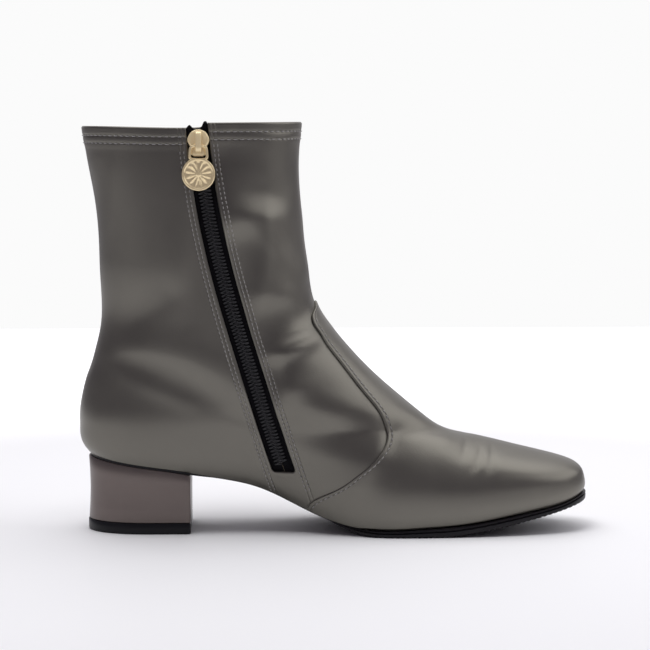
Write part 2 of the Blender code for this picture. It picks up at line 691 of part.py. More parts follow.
def make_pull(frame):
    axis = frame @ Matrix.Translation((0, -pull_bar_lift(), PULL_BAR_UP))
    foot = -PULL_WINDOW - PULL_BAR_RADIUS
    corner = PULL_CORNER
    path = (
        (PULL_TOP_WIDTH - corner, 0),
        (0, 0),
        (-PULL_TOP_WIDTH + corner, 0),
        (-PULL_TOP_WIDTH, -corner),
        (-PULL_FOOT_WIDTH, foot + corner),
        (-PULL_FOOT_WIDTH + corner, foot),
        (0, foot),
        (PULL_FOOT_WIDTH - corner, foot),
        (PULL_FOOT_WIDTH, foot + corner),
        (PULL_TOP_WIDTH, -corner),
    )
    pull = wire("zip_pull", path, PULL_BAR_RADIUS, 10, "gold")
    medal = medallion("pull_medallion", "gold")
    for piece in (pull, medal):
        piece.matrix_world = axis
    joined_solid([pull, medal])


def main():
    clear_scene()
    make_materials()
    make_upper()
    make_vamp()
    make_outsole()
    make_insole()
    make_heel()
    make_top_lift()
    make_tape("zip_tape_front", 1)
    make_tape("zip_tape_back", -1)
    make_chain()
    frame = slider_frame()
    make_slider(frame)
    make_pull(frame)


main()
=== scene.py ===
"""Looks of a left ankle boot of pewter stretch leather with a zip on the inner side.

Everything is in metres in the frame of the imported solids: +X to the toe, +Y to the outer side, +Z up.
Lengths along the boot are counted from the back of the heel and heights from the floor.
"""

import math

import bpy
import numpy as np
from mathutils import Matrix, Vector


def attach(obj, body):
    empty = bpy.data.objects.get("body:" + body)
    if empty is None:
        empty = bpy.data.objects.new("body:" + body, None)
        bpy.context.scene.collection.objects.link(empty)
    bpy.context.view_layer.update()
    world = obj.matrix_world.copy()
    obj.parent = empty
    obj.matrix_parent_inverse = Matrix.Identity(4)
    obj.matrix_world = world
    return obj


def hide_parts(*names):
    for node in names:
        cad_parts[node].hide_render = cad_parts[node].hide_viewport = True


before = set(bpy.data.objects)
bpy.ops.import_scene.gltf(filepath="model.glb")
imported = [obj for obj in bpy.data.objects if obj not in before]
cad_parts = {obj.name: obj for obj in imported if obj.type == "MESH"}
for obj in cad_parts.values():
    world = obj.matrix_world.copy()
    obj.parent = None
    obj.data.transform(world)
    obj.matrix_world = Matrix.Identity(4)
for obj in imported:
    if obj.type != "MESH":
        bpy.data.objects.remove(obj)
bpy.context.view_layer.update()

# Upper: stretch leather on a thin jersey, pulled over the last from the feather edge to the collar.
# The collar edge is folded in and sewn down as a hem, and the edges of the zip's slot are turned under.
MIDDLE = 0.1301
GAP = 0.0003
WALL, LEATHER = 0.0016, 0.0010
COLLAR_HEM, HEM_STEP = 0.0080, 0.0004
SLOT_HALF_WIDTH, SLOT_FOOT, SLOT_CORNER, SLOT_ROUNDING = 0.0055, 0.0323, 0.0016, 0.0007
ZIP_TOP_X, ZIP_LEAN, ZIP_CURVE = 0.0608, 0.125, 0.692
ZIP_SWAY, ZIP_SWAY_LENGTH = 0.00105, 0.184

# A row for each ring of the last, from the feather edge to the collar
RING_COLUMNS = (
    *("back_x", "back_z", "front_x", "front_z", "dip"),
    *("heel_w", "waist_w", "ball_w", "tail", "nose", "square"),
)
RINGS = (
    (0.0046, 0.0398, 0.2578, 0.0197, 1.00, 0.0272, 0.0225, 0.0385, 0.038, 0.140, 2.8),
    (0.0013, 0.0440, 0.2591, 0.0231, 0.90, 0.0291, 0.0268, 0.0403, 0.040, 0.140, 2.9),
    (-0.0003, 0.0492, 0.2583, 0.0278, 0.78, 0.0302, 0.0294, 0.0410, 0.042, 0.140, 2.8),
    (-0.0004, 0.0545, 0.2545, 0.0325, 0.66, 0.0306, 0.0308, 0.0406, 0.043, 0.140, 2.6),
    (-0.0004, 0.0600, 0.2410, 0.0371, 0.54, 0.0306, 0.0316, 0.0393, 0.043, 0.138, 2.2),
    (0.0002, 0.0660, 0.2220, 0.0418, 0.42, 0.0306, 0.0322, 0.0380, 0.043, 0.142, 2.0),
    (0.0014, 0.0720, 0.2030, 0.0463, 0.30, 0.0306, 0.0326, 0.0364, 0.044, 0.150, 2.0),
    (0.0031, 0.0785, 0.1862, 0.0500, 0.18, 0.0306, 0.0328, 0.0352, 0.045, 0.125, 2.0),
    (0.0055, 0.0850, 0.1735, 0.0589, 0.08, 0.0306, 0.0330, 0.0340, 0.046, 0.078, 2.0),
    (0.0078, 0.0920, 0.1590, 0.0713, 0.02, 0.0308, 0.0330, 0.0335, 0.048, 0.068, 2.0),
    (0.0096, 0.0995, 0.1458, 0.0836, 0.00, 0.0310, 0.0328, 0.0330, 0.050, 0.060, 2.0),
    (0.0109, 0.1080, 0.1326, 0.0982, 0.00, 0.0312, 0.0326, 0.0326, 0.051, 0.055, 2.0),
    (0.0115, 0.1185, 0.1211, 0.1150, 0.00, 0.0314, 0.0320, 0.0320, 0.052, 0.052, 2.0),
    (0.0114, 0.1330, 0.1165, 0.1330, 0.00, 0.0316, 0.0318, 0.0318, 0.052, 0.052, 2.0),
    (0.0106, 0.1500, 0.1144, 0.1500, 0.00, 0.0319, 0.0320, 0.0320, 0.052, 0.052, 2.0),
    (0.0081, 0.1700, 0.1135, 0.1704, 0.00, 0.0322, 0.0322, 0.0322, 0.052, 0.052, 2.0),
    (0.0048, 0.1880, 0.1129, 0.1888, 0.00, 0.0324, 0.0324, 0.0324, 0.053, 0.053, 2.0),
    (0.0019, 0.2071, 0.1138, 0.2080, 0.00, 0.0325, 0.0325, 0.0325, 0.055, 0.054, 2.0),
)
COLLAR_RING = len(RINGS) - 1
COLLAR_RISE = RINGS[-1][1]
TOP_RING_HEIGHT = COLLAR_RISE - RINGS[-2][1]
ROUNDING = 2.5
COLLAR_DIP, DIP_RINGS = 0.0024, (15.0, 17.0)  # the back half of the collar sags towards the zip
DIP_SLOT_FADE, DIP_OUTER_END = 0.003, 0.085
HEEL_AT, WAIST_AT, BALL_AT = 0.035, 0.095, 0.165
# Columns along and across: how far the foot's middle line swings to the outer side
SWING = (
    (0.000, 0.0000),
    (0.045, 0.0004),
    (0.095, 0.0026),
    (0.150, 0.0010),
    (0.200, -0.0008),
    (0.262, -0.0024),
)
SWING_RINGS = (4.0, 10.0)
TOE_SKEW = 0.10
# Columns along and rise: the feather edge in the side view
SOLE_LINE = (
    (0.0046, 0.0398),
    (0.0210, 0.0371),
    (0.0345, 0.0352),
    (0.0510, 0.0327),
    (0.0670, 0.0295),
    (0.0910, 0.0238),
    (0.1130, 0.0136),
    (0.1330, 0.0059),
    (0.1510, 0.0035),
    (0.1755, 0.0045),
    (0.1930, 0.0058),
    (0.2085, 0.0081),
    (0.2340, 0.0128),
    (0.2504, 0.0166),
    (0.2578, 0.0197),
)

FOLD_END_FADE, FOLD_SIDE_FADE = 0.008, 0.010

# Soft folds as lines in the side view. side is -1 for the zip's side and 1 for the outer side, bow is how
# far the line's middle stands above its chord, and above and below are the fold's widths on either side of
# its line. height is how far a ridge stands out, or how deep a trough is when it is negative.
# Columns side, along_0, rise_0, along_1, rise_1, bow, above, below and height
FOLDS = (
    (-1, 0.0150, 0.1400, 0.0500, 0.1350, 0.0, 0.0600, 0.0220, 0.0015),
    (-1, 0.1030, 0.1950, 0.1030, 0.1250, 0.0, 0.0060, 0.0160, 0.0014),
    (-1, 0.0150, 0.1000, 0.0460, 0.1218, 0.0, 0.0110, 0.0070, -0.0007),
    (-1, 0.0735, 0.1848, 0.1000, 0.1728, 0.0, 0.0280, 0.0090, -0.0012),
    (-1, 0.0772, 0.1630, 0.0930, 0.1610, 0.0, 0.0075, 0.0400, 0.0025),
    (-1, 0.0745, 0.1790, 0.0765, 0.1600, 0.0, 0.0140, 0.0045, 0.0022),
    (-1, 0.0850, 0.1610, 0.1094, 0.1335, 0.0, 0.0100, 0.0045, 0.0006),
    (-1, 0.0930, 0.1230, 0.1080, 0.1205, 0.0, 0.0300, 0.0110, 0.0026),
    (-1, 0.1020, 0.0940, 0.1160, 0.0985, 0.0, 0.0050, 0.0050, 0.0018),
    (-1, 0.1050, 0.0910, 0.1080, 0.0780, 0.0, 0.0140, 0.0050, 0.0024),
    (-1, 0.1040, 0.0690, 0.1500, 0.0470, 0.0, 0.0120, 0.0200, 0.0034),
    (-1, 0.1500, 0.0560, 0.1850, 0.0490, 0.0, 0.0100, 0.0100, 0.0012),
    (-1, 0.2150, 0.0350, 0.2480, 0.0290, 0.0, 0.0060, 0.0080, 0.0010),
    (-1, 0.0160, 0.0934, 0.0827, 0.0750, 0.0078, 0.0110, 0.0075, 0.0012),
    (-1, 0.0180, 0.0907, 0.0758, 0.0611, 0.0080, 0.0055, 0.0090, -0.0005),
    (-1, 0.0221, 0.0823, 0.0534, 0.0690, 0.0, 0.0040, 0.0050, 0.0004),
    (-1, 0.0120, 0.0580, 0.0768, 0.0575, 0.0, 0.0100, 0.0100, 0.0010),
    (-1, 0.1033, 0.0302, 0.1119, 0.0300, 0.0, 0.0010, 0.0010, 0.0003),
    (-1, 0.2042, 0.0399, 0.2009, 0.0339, 0.0, 0.0014, 0.0014, -0.0004),
    (-1, 0.2070, 0.0399, 0.2045, 0.0337, 0.0, 0.0017, 0.0017, 0.0003),
    (-1, 0.2100, 0.0396, 0.2091, 0.0332, 0.0, 0.0016, 0.0016, -0.0004),
    (-1, 0.1970, 0.0443, 0.1956, 0.0406, 0.0, 0.0017, 0.0017, -0.0003),
    (1, 0.0160, 0.1425, 0.0480, 0.1335, 0.0, 0.0200, 0.0200, 0.0009),
    (1, 0.0660, 0.1880, 0.1090, 0.1690, 0.0, 0.0200, 0.0090, -0.0012),
    (1, 0.0680, 0.1660, 0.1060, 0.1600, 0.0, 0.0080, 0.0260, 0.0018),
    (1, 0.0620, 0.1400, 0.1080, 0.1200, 0.0, 0.0100, 0.0050, 0.0007),
    (1, 0.0700, 0.1000, 0.1165, 0.1020, 0.002, 0.0040, 0.0060, 0.0014),
    (1, 0.0760, 0.0930, 0.1190, 0.0950, 0.0, 0.0035, 0.0050, -0.0007),
    (1, 0.0950, 0.0740, 0.1495, 0.0496, 0.0, 0.0130, 0.0150, 0.0026),
    (1, 0.0160, 0.0934, 0.0827, 0.0750, 0.0078, 0.0110, 0.0080, 0.0010),
    (1, 0.0120, 0.0580, 0.0768, 0.0575, 0.0, 0.0100, 0.0100, 0.0010),
    (1, 0.1990, 0.0430, 0.1975, 0.0370, 0.0, 0.0018, 0.0018, -0.0003),
    (1, 0.2070, 0.0400, 0.2045, 0.0330, 0.0, 0.0018, 0.0018, -0.0004),
)


def spline(knots, rows, at):
    """A natural cubic curve through the table's rows, read at each place in at, with the columns last."""
    knots = np.asarray(knots, float)
    rows = np.asarray(rows, float).reshape(len(knots), -1)
    at = np.asarray(at, float)
    step = np.diff(knots)
    slope = np.diff(rows, axis=0) / step[:, None]
    system = np.eye(len(knots))
    pull = np.zeros_like(rows)
    for i in range(1, len(knots) - 1):
        system[i, i - 1 : i + 2] = step[i - 1], 2 * (step[i - 1] + step[i]), step[i]
        pull[i] = 6 * (slope[i] - slope[i - 1])
    bend = np.linalg.solve(system, pull)
    i = np.clip(np.searchsorted(knots, at) - 1, 0, len(knots) - 2)
    h, after, before = (q[..., None] for q in (step[i], at - knots[i], knots[i + 1] - at))
    return (
        (bend[i] * before**3 + bend[i + 1] * after**3) / (6 * h)
        + (rows[i] / h - bend[i] * h / 6) * before
        + (rows[i + 1] / h - bend[i + 1] * h / 6) * after
    )


def column(table, at):
    """The second column of a two-column table, read along its first."""
    table = np.asarray(table)
    return spline(table[:, 0], table[:, 1], at)[..., 0]


def ease(low, high, at):
    """0 before low, 1 after high, smooth between: three t squared less two t cubed."""
    t = np.clip((np.asarray(at, float) - low) / (high - low), 0, 1)
    return t * t * (3 - 2 * t)


def ring_sizes(ring):
    """Each column of the ring table, read at these rings."""
    values = spline(range(len(RINGS)), RINGS, ring)
    return {name: values[..., i] for i, name in enumerate(RING_COLUMNS)}


def sole_fall(share):
    """How far the sole line lies under the straight line between its ends."""
    first, last = SOLE_LINE[0], SOLE_LINE[-1]
    along = first[0] + share * (last[0] - first[0])
    return column(SOLE_LINE, along) - (first[1] + share * (last[1] - first[1]))


def rounded_end(distance, length, square=2.0):
    """0 at a ring's end, rising like an arc to 1 at this distance from it."""
    left = np.clip(1 - distance / length, 0, 1)
    return np.clip(1 - left**ROUNDING, 0, 1) ** (1 / square)


def side_view(share, ring):
    """Along and height of the point that lies this share of the way from a ring's back to its front."""
    r = ring_sizes(ring)
    along = r["back_x"] + share * (r["front_x"] - r["back_x"])
    rise = r["back_z"] + share * (r["front_z"] - r["back_z"]) + r["dip"] * sole_fall(share)
    return along, rise


def collar_dip(along, outer, ring):
    """How far the collar sags: half its depth at the back, all of it at the slot's back edge and none in
    front. The outer side has no slot, so there it fades over a longer way."""
    back_edge = ZIP_TOP_X - SLOT_HALF_WIDTH
    inner_fade = ease(back_edge, back_edge + DIP_SLOT_FADE, along)
    outer_fade = ease(back_edge, DIP_OUTER_END, along)
    share = (1 + ease(0.0, back_edge, along)) * (1 - np.where(outer < 0, inner_fade, outer_fade)) / 2
    return COLLAR_DIP * ease(*DIP_RINGS, ring) * share


def last_point(turn, ring):
    """A point of the last: turn runs from 0 at the back by the inner side to pi at the front, ring from 0
    at the feather edge to the collar. The half width is the ring's own, rounded off at both ends."""
    turn, ring = np.broadcast_arrays(np.asarray(turn, float), np.asarray(ring, float))
    r = ring_sizes(ring)
    share = (1 - np.cos(turn)) / 2
    along, rise = side_view(share, ring)
    span = r["front_x"] - r["back_x"]
    outer = np.where(np.sin(turn) < 0, 1.0, -1.0)
    foot = 1 - ease(*SWING_RINGS, ring)
    width = r["heel_w"] + (r["waist_w"] - r["heel_w"]) * ease(HEEL_AT, WAIST_AT, along)
    width = width + (r["ball_w"] - r["waist_w"]) * ease(WAIST_AT, BALL_AT, along)
    nose = r["nose"] * (1 + TOE_SKEW * outer * foot)
    width = width * rounded_end(span * (1 - share), nose, r["square"])
    width = width * rounded_end(span * share, r["tail"])
    across = outer * width + foot * column(SWING, along)
    return np.stack([along - MIDDLE, across, rise - collar_dip(along, outer, ring)], axis=-1)


def unit(vectors):
    """Vectors divided by their own lengths."""
    return vectors / np.linalg.norm(vectors, axis=-1, keepdims=True)


def last_normal(turn, ring):
    """The outward normal: the cross product of the steps along turn and along ring."""
    small_turn, small_ring = 1e-3, 1e-2
    along_turn = last_point(turn + small_turn, ring) - last_point(turn - small_turn, ring)
    along_ring = last_point(turn, ring + small_ring) - last_point(turn, ring - small_ring)
    return unit(np.cross(along_turn, along_ring))


def fold_lift(points):
    """The folds' own lift: a bell across each fold's bowed line, with a width of its own on either side,
    that fades past the line's ends. The bow is a parabola over the chord, and a fold stays on its side."""
    along, across, rise = points[..., 0] + MIDDLE, points[..., 1], points[..., 2]
    lift = np.zeros(along.shape)
    for side, along_0, rise_0, along_1, rise_1, bow, above, below, height in FOLDS:
        run, climb = along_1 - along_0, rise_1 - rise_0
        length = math.hypot(run, climb)
        ahead = ((along - along_0) * run + (rise - rise_0) * climb) / length
        over = ((rise - rise_0) * run - (along - along_0) * climb) / length
        over = over - bow * (1 - (2 * np.clip(ahead / length, 0, 1) - 1) ** 2)
        width = np.where(over > 0, above, below)
        beyond = (ahead - np.clip(ahead, 0, length)) / min(above + below, FOLD_END_FADE)
        near = ease(-FOLD_SIDE_FADE, FOLD_SIDE_FADE, side * across)
        lift += height * near * np.exp(-((over / width) ** 2) - beyond**2)
    return lift


def skin(turn, ring, lift):
    """The last's face with its folds, moved out by lift along its normal."""
    points = last_point(turn, ring)
    lift = np.asarray(lift, float) + fold_lift(points)
    return points + lift[..., None] * last_normal(turn, ring)


def find_on_inner_side(along, rise):
    """turn and ring of the inner side's point at this place of the side view, by halving the rings."""
    along, rise = np.broadcast_arrays(np.asarray(along, float), np.asarray(rise, float))
    low = np.zeros(along.shape)
    high = np.full(along.shape, float(COLLAR_RING) + 0.5)
    for _ in range(40):
        middle = (low + high) / 2
        r = ring_sizes(middle)
        share = (along - r["back_x"]) / (r["front_x"] - r["back_x"])
        above = (share > 1) | (side_view(np.clip(share, 0, 1), middle)[1] > rise)
        high = np.where(above, middle, high)
        low = np.where(above, low, middle)
    r = ring_sizes(low)
    share = np.clip((along - r["back_x"]) / (r["front_x"] - r["back_x"]), 0, 1)
    return np.arccos(1 - 2 * share), low


def zip_x(rise):
    """The zip's middle line, a parabola that leans to the toe as it falls, with a slight wave."""
    fall = COLLAR_RISE - np.asarray(rise, float)
    sway = ZIP_SWAY * np.sin(2 * math.pi * fall / ZIP_SWAY_LENGTH)
    return ZIP_TOP_X + ZIP_LEAN * fall + ZIP_CURVE * fall**2 - sway


def zip_slope(rise):
    """How far the zip's line moves to the toe for each metre of its fall: the line's derivative."""
    fall = COLLAR_RISE - np.asarray(rise, float)
    turn = 2 * math.pi / ZIP_SWAY_LENGTH
    return ZIP_LEAN + 2 * ZIP_CURVE * fall - ZIP_SWAY * turn * np.cos(turn * fall)


def slot_turn(ring, beside):
    """Where each ring crosses the line that lies this far beside the zip's middle line."""
    r = ring_sizes(ring)
    share = np.full(ring.shape, 0.45)
    for _ in range(20):
        rise = side_view(share, ring)[1]
        along = zip_x(rise) + beside * np.sqrt(1 + zip_slope(rise) ** 2)
        share = (along - r["back_x"]) / (r["front_x"] - r["back_x"])
    return np.arccos(1 - 2 * share)


def beside_line(points):
    """How far points lie beside the zip's middle line in the side view, above 0 on the toe's side."""
    return (points[..., 0] + MIDDLE - zip_x(points[..., 2])) / np.sqrt(1 + zip_slope(points[..., 2]) ** 2)


def slot_distance(points):
    """Distance from the slot's edge, below 0 inside it: a strip along the zip with a level foot and rounded
    corners. On the outer side it is simply large."""
    across = np.abs(beside_line(points)) - SLOT_HALF_WIDTH + SLOT_CORNER
    under = SLOT_CORNER - (points[..., 2] - SLOT_FOOT)
    outside = np.hypot(np.maximum(across, 0), np.maximum(under, 0))
    distance = outside + np.minimum(np.maximum(across, under), 0) - SLOT_CORNER
    return np.where(points[..., 1] < 0, distance, 1.0)


def slot_ends(rings, margin=0.0):
    """The turns where each ring leaves and enters the slot, read off fine steps across it, and which rings
    miss it. A ring that misses it starts and ends where the slot's foot begins."""
    reach = 0.010  # metres searched on either side of the zip's line
    offset = np.linspace(-reach, reach, 401)
    ring, beside = np.meshgrid(rings, offset, indexing="ij")
    distance = slot_distance(last_point(slot_turn(ring, beside), ring)) - margin
    inside = distance < 0
    open_rings = inside.any(axis=1)
    rows, step = np.arange(len(rings)), offset[1] - offset[0]
    low = np.argmax(inside, axis=1)
    high = len(offset) - 1 - np.argmax(inside[:, ::-1], axis=1)
    before, after = np.maximum(low - 1, 0), np.minimum(high + 1, len(offset) - 1)
    at_low, at_high = distance[rows, low], distance[rows, high]
    back = offset[low] - step * at_low / (at_low - distance[rows, before] - 1e-12)
    front = offset[high] + step * at_high / (at_high - distance[rows, after] - 1e-12)
    closed_at = offset[np.argmin(distance[np.argmax(open_rings)])]
    back, front = np.where(open_rings, back, closed_at), np.where(open_rings, front, closed_at)
    return slot_turn(rings, front), slot_turn(rings, back) + 2 * math.pi, ~open_rings


def quads(number):
    """The faces of a grid of vertex numbers, first along a row and then up a column."""
    corners = (number[:-1, :-1], number[:-1, 1:], number[1:, 1:], number[1:, :-1])
    return np.stack(corners, axis=-1).reshape(-1, 4)


def ladder(near, far):
    """Faces between two rows of vertex numbers."""
    return np.stack([near[:-1], near[1:], far[1:], far[:-1]], axis=-1)


def wall(outer, inner, joined=None):
    """A closed wall between two grids. joined marks the rows whose last column is their first one again."""
    rows, columns = outer.shape[:2]
    joined = np.zeros(rows, bool) if joined is None else joined
    number = np.arange(rows * columns).reshape(rows, columns)
    number[joined, -1] = number[joined, 0]
    back = number + rows * columns
    cut = ~(joined[:-1] & joined[1:])
    ends = [ladder(number[:, 0], back[:, 0])[cut], ladder(back[:, -1], number[:, -1])[cut]]
    rims = [ladder(number[-1], back[-1]), ladder(back[0], number[0])]
    faces = np.concatenate([quads(number), quads(back)[:, ::-1], *ends, *rims])
    return np.concatenate([outer.reshape(-1, 3), inner.reshape(-1, 3)]), [faces]


def make_piece(name, points, groups, material, slot, stands_for=(), body="boot", uv=None, sharp=50):
    """A smooth mesh turned outwards that rides on a body. Each group holds faces of one corner count. The
    sign of the volume, a sum of determinants over triangles, says whether the faces are turned round."""
    points = np.asarray(points, float).reshape(-1, 3)
    used = np.unique(np.concatenate([group.ravel() for group in groups]))
    renumber = np.zeros(len(points), int)
    renumber[used] = np.arange(len(used))
    points = points[used]
    groups = [renumber[group] for group in groups]
    volume = 0.0
    for group in groups:
        for k in range(1, group.shape[1] - 1):
            volume += np.linalg.det(points[group[:, [0, k, k + 1]]]).sum()
    if volume < 0:
        groups = [group[:, ::-1] for group in groups]
    corners = np.concatenate([group.ravel() for group in groups])
    sizes = np.concatenate([np.full(len(group), group.shape[1]) for group in groups])
    mesh = bpy.data.meshes.new(name)
    mesh.vertices.add(len(points))
    mesh.vertices.foreach_set("co", points.astype(np.float32).ravel())
    mesh.loops.add(len(corners))
    mesh.loops.foreach_set("vertex_index", corners.astype(np.int32))
    mesh.polygons.add(len(sizes))
    mesh.polygons.foreach_set("loop_start", (np.cumsum(sizes) - sizes).astype(np.int32))
    if uv is not None:
        flat = np.asarray(uv, float).reshape(-1, 2)[used][corners]
        mesh.uv_layers.new(name="seams").data.foreach_set("uv", flat.astype(np.float32).ravel())
    mesh.update(calc_edges=True)
    mesh.validate()
    mesh.shade_smooth()
    mesh.set_sharp_from_angle(angle=math.radians(sharp))
    mesh.materials.append(material)
    piece = bpy.data.objects.new(name, mesh)
    bpy.context.scene.collection.objects.link(piece)
    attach(piece, body)
    if stands_for:
        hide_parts(*stands_for)
    return piece


def new_finish(name, colour, roughness, metallic=0.0, more=()):
    """A Principled finish whose constant numbers sit on its own sockets."""
    material = bpy.data.materials.new(name)
    material.use_nodes = True
    shader = material.node_tree.nodes["Principled BSDF"]
    values = {"Base Color": (*colour, 1.0), "Roughness": roughness, "Metallic": metallic}
    for socket, value in {**values, **dict(more)}.items():
        shader.inputs[socket].default_value = value
    return material, shader


def add(material, kind, inputs=(), **settings):
    """One node of a finish: settings are its own, and inputs are numbers or other nodes' outputs."""
    tree = material.node_tree
    made = tree.nodes.new("ShaderNode" + kind)
    for key, value in settings.items():
        setattr(made, key, value)
    for socket, value in dict(inputs).items():
        if isinstance(value, bpy.types.NodeSocket):
            tree.links.new(value, made.inputs[socket])
        else:
            made.inputs[socket].default_value = value
    return made


def plug(material, output, socket):
    """A link from a node's output to a socket."""
    material.node_tree.links.new(output, socket)


def object_place(material):
    """The point's own place in metres, in the boot's frame."""
    return add(material, "TexCoord").outputs["Object"]


def shades(colour, dark, light):
    """A colour made darker and lighter by these factors."""
    return [tuple(c * factor for c in colour) for factor in (dark, light)]


def vary_colour(material, shader, factor, dark, light):
    """The base colour runs from dark to light with the factor."""
    ramp = add(material, "ValToRGB", {"Fac": factor})
    ramp.color_ramp.elements[0].color = (*dark, 1.0)
    ramp.color_ramp.elements[1].color = (*light, 1.0)
    plug(material, ramp.outputs["Color"], shader.inputs["Base Color"])


def vary_roughness(material, shader, factor, low, high):
    """The roughness runs from low to high with the factor."""
    span = add(material, "MapRange", {"Value": factor, "To Min": low, "To Max": high})
    plug(material, span.outputs["Result"], shader.inputs["Roughness"])


def groove(material, place, centres, half_width):
    """1 on the surface and 0 along lines at these places: a product of smooth steps beside each."""
    product = None
    for centre in centres:
        off = add(material, "Math", {0: place, 1: centre}, operation="SUBTRACT")
        off = add(material, "Math", {0: off.outputs[0]}, operation="ABSOLUTE")
        step = {"Value": off.outputs[0], "From Min": 0.0, "From Max": half_width}
        step = add(material, "MapRange", step, interpolation_type="SMOOTHSTEP").outputs["Result"]
        if product is not None:
            step = add(material, "Math", {0: product, 1: step}, operation="MULTIPLY").outputs[0]
        product = step
    return product


UV_SPAN = 0.03  # metres across the seam map, which holds distances from an edge
SEAM_GROOVE = 0.0006  # half the width of the groove along a row of stitches


def leather_finish(name, colour, seam_rows, hem_rows=()):
    """Pewter leather: fine pores and creased cells as bump, cloudy gloss, and grooves along its seams."""
    material, shader = new_finish(name, colour, 0.38, 0.88)
    place = object_place(material)
    cloud = add(material, "TexNoise", {"Vector": place, "Scale": 38.0, "Detail": 5.0, "Roughness": 0.6})
    cells = add(material, "TexVoronoi", {"Vector": place, "Scale": 1500.0}, feature="SMOOTH_F1")
    pores = add(material, "TexNoise", {"Vector": place, "Scale": 3200.0, "Detail": 2.0})
    vary_colour(material, shader, cloud.outputs["Fac"], *shades(colour, 0.90, 1.10))
    vary_roughness(material, shader, cloud.outputs["Fac"], 0.33, 0.43)
    grain = add(material, "Math", {0: cells.outputs["Distance"], 1: pores.outputs["Fac"]}, operation="ADD")
    bump = {"Height": grain.outputs[0], "Strength": 0.35, "Distance": 0.00006}
    bump = add(material, "Bump", bump).outputs["Normal"]
    seams = add(material, "SeparateXYZ", {"Vector": add(material, "UVMap", uv_map="seams").outputs["UV"]})
    for axis, rows in (("X", seam_rows), ("Y", hem_rows)):
        if rows:
            places = [row / UV_SPAN for row in rows]
            line = groove(material, seams.outputs[axis], places, SEAM_GROOVE / UV_SPAN)
            inputs = {"Height": line, "Strength": 0.9, "Distance": 0.00025, "Normal": bump}
            bump = add(material, "Bump", inputs).outputs["Normal"]
    plug(material, bump, shader.inputs["Normal"])
    return material


PEWTER = (0.184, 0.175, 0.152)
ZIP_STITCH_ROWS = (0.0020, 0.0039)  # from the slot's edge
HEM_STITCH_ROWS = (0.0036, 0.0074)  # below the collar
HEM_PINCH, HEM_PINCH_SHARE, HEM_FADE = 0.0009, 0.45, 0.0030
EDGE_STEPS = np.array([0, 0.12, 0.35, 0.7, 1.2, 2.0, 3.2]) / 1000  # columns close to a cut edge


def rounded_edge(distance, radius):
    """How far a turned edge falls away: a quarter circle of this radius."""
    left = np.clip(1 - distance / radius, 0, 1)
    return -radius * (1 - np.sqrt(1 - left**2))


def make_upper():
    """Rows are rings and columns run from the slot's front edge round the boot to its back edge. The hem is
    a step in the lift, and the collar's rim is a half circle carried round the top ring."""
    hem_ring = COLLAR_RING - COLLAR_HEM / TOP_RING_HEIGHT
    corners = zip_x(SLOT_FOOT) + SLOT_HALF_WIDTH * np.array([-1.0, 1.0])
    low, high = find_on_inner_side(corners, SLOT_FOOT)[1] + np.array([-0.2, 0.3])
    spans = ((0, low, 8), (low, high, 64), (high, 8, 44), (8, hem_ring, 92))
    rows = [np.linspace(start, stop, count, endpoint=False) for start, stop, count in spans]
    rings = np.concatenate([*rows, np.linspace(hem_ring, COLLAR_RING, 26)])
    first, last, closed = slot_ends(rings)
    pace = np.linalg.norm(last_point(first + 1e-3, rings) - last_point(first, rings), axis=-1) / 1e-3
    steps = EDGE_STEPS / pace[:, None]
    inside = np.linspace(0, 1, 172)[1:-1]
    start, stop = (first + steps[:, -1])[:, None], (last - steps[:, -1])[:, None]
    turn = [first[:, None] + steps, start + inside * (stop - start), last[:, None] - steps[:, ::-1]]
    turn = np.concatenate(turn, axis=1)
    ring = np.broadcast_to(rings[:, None], turn.shape)
    below = (COLLAR_RING - ring) * TOP_RING_HEIGHT
    in_hem = 1 - ease(HEM_STITCH_ROWS[1], HEM_STITCH_ROWS[1] + HEM_FADE, below)
    pinch = sum(np.exp(-(((below - row) / HEM_PINCH) ** 2)) for row in HEM_STITCH_ROWS)
    turned = rounded_edge(np.maximum(slot_distance(last_point(turn, ring)), 0), SLOT_ROUNDING)
    outer = skin(turn, ring, HEM_STEP * (in_hem - HEM_PINCH_SHARE * pinch) + turned)
    inner = skin(turn, ring, -LEATHER - (WALL - LEATHER) * in_hem)
    radius = (HEM_STEP + WALL) / 2
    top_turn = turn[-1]
    top_ring = np.full(top_turn.shape, float(COLLAR_RING))
    out = last_normal(top_turn, top_ring)
    up = unit(last_point(top_turn, top_ring) - last_point(top_turn, top_ring - 0.05))
    rim_middle = (outer[-1] + inner[-1]) / 2
    half = np.linalg.norm(outer[-1] - inner[-1], axis=-1, keepdims=True) / 2
    angle = np.radians([25, 50, 75])[:, None, None]
    outer_rim = rim_middle + half * np.cos(angle) * out + radius * np.sin(angle) * up
    inner_rim = rim_middle - half * np.cos(angle) * out + radius * np.sin(angle) * up
    outer, inner = np.concatenate([outer, outer_rim]), np.concatenate([inner, inner_rim])
    joined = np.concatenate([closed, np.zeros(3, bool)])
    points, groups = wall(outer, inner, joined)
    near = np.clip(np.abs(beside_line(points)) - SLOT_HALF_WIDTH, -0.01, UV_SPAN)
    near = np.where(points[:, 1] < 0, near, UV_SPAN)
    below = np.concatenate([below, np.zeros((3, below.shape[1]))])
    seams = np.stack([near, np.stack([below, below]).ravel()], axis=-1) / UV_SPAN
    finish = leather_finish("pewter leather", PEWTER, ZIP_STITCH_ROWS, HEM_STITCH_ROWS)
    make_piece("upper_leather", points, groups, finish, "leather", ["upper"], uv=seams)


make_upper()

# Lining: thin taupe cloth stuck to the leather's inside, from near the feather edge up to the collar. Its
# top edge is caught under the folded hem, and it stops short of the zip's slot.
LINING_GAP, LINING_BACK = 0.00005, 0.0010
LINING_RINGS = (0.4, COLLAR_RING - 0.36)


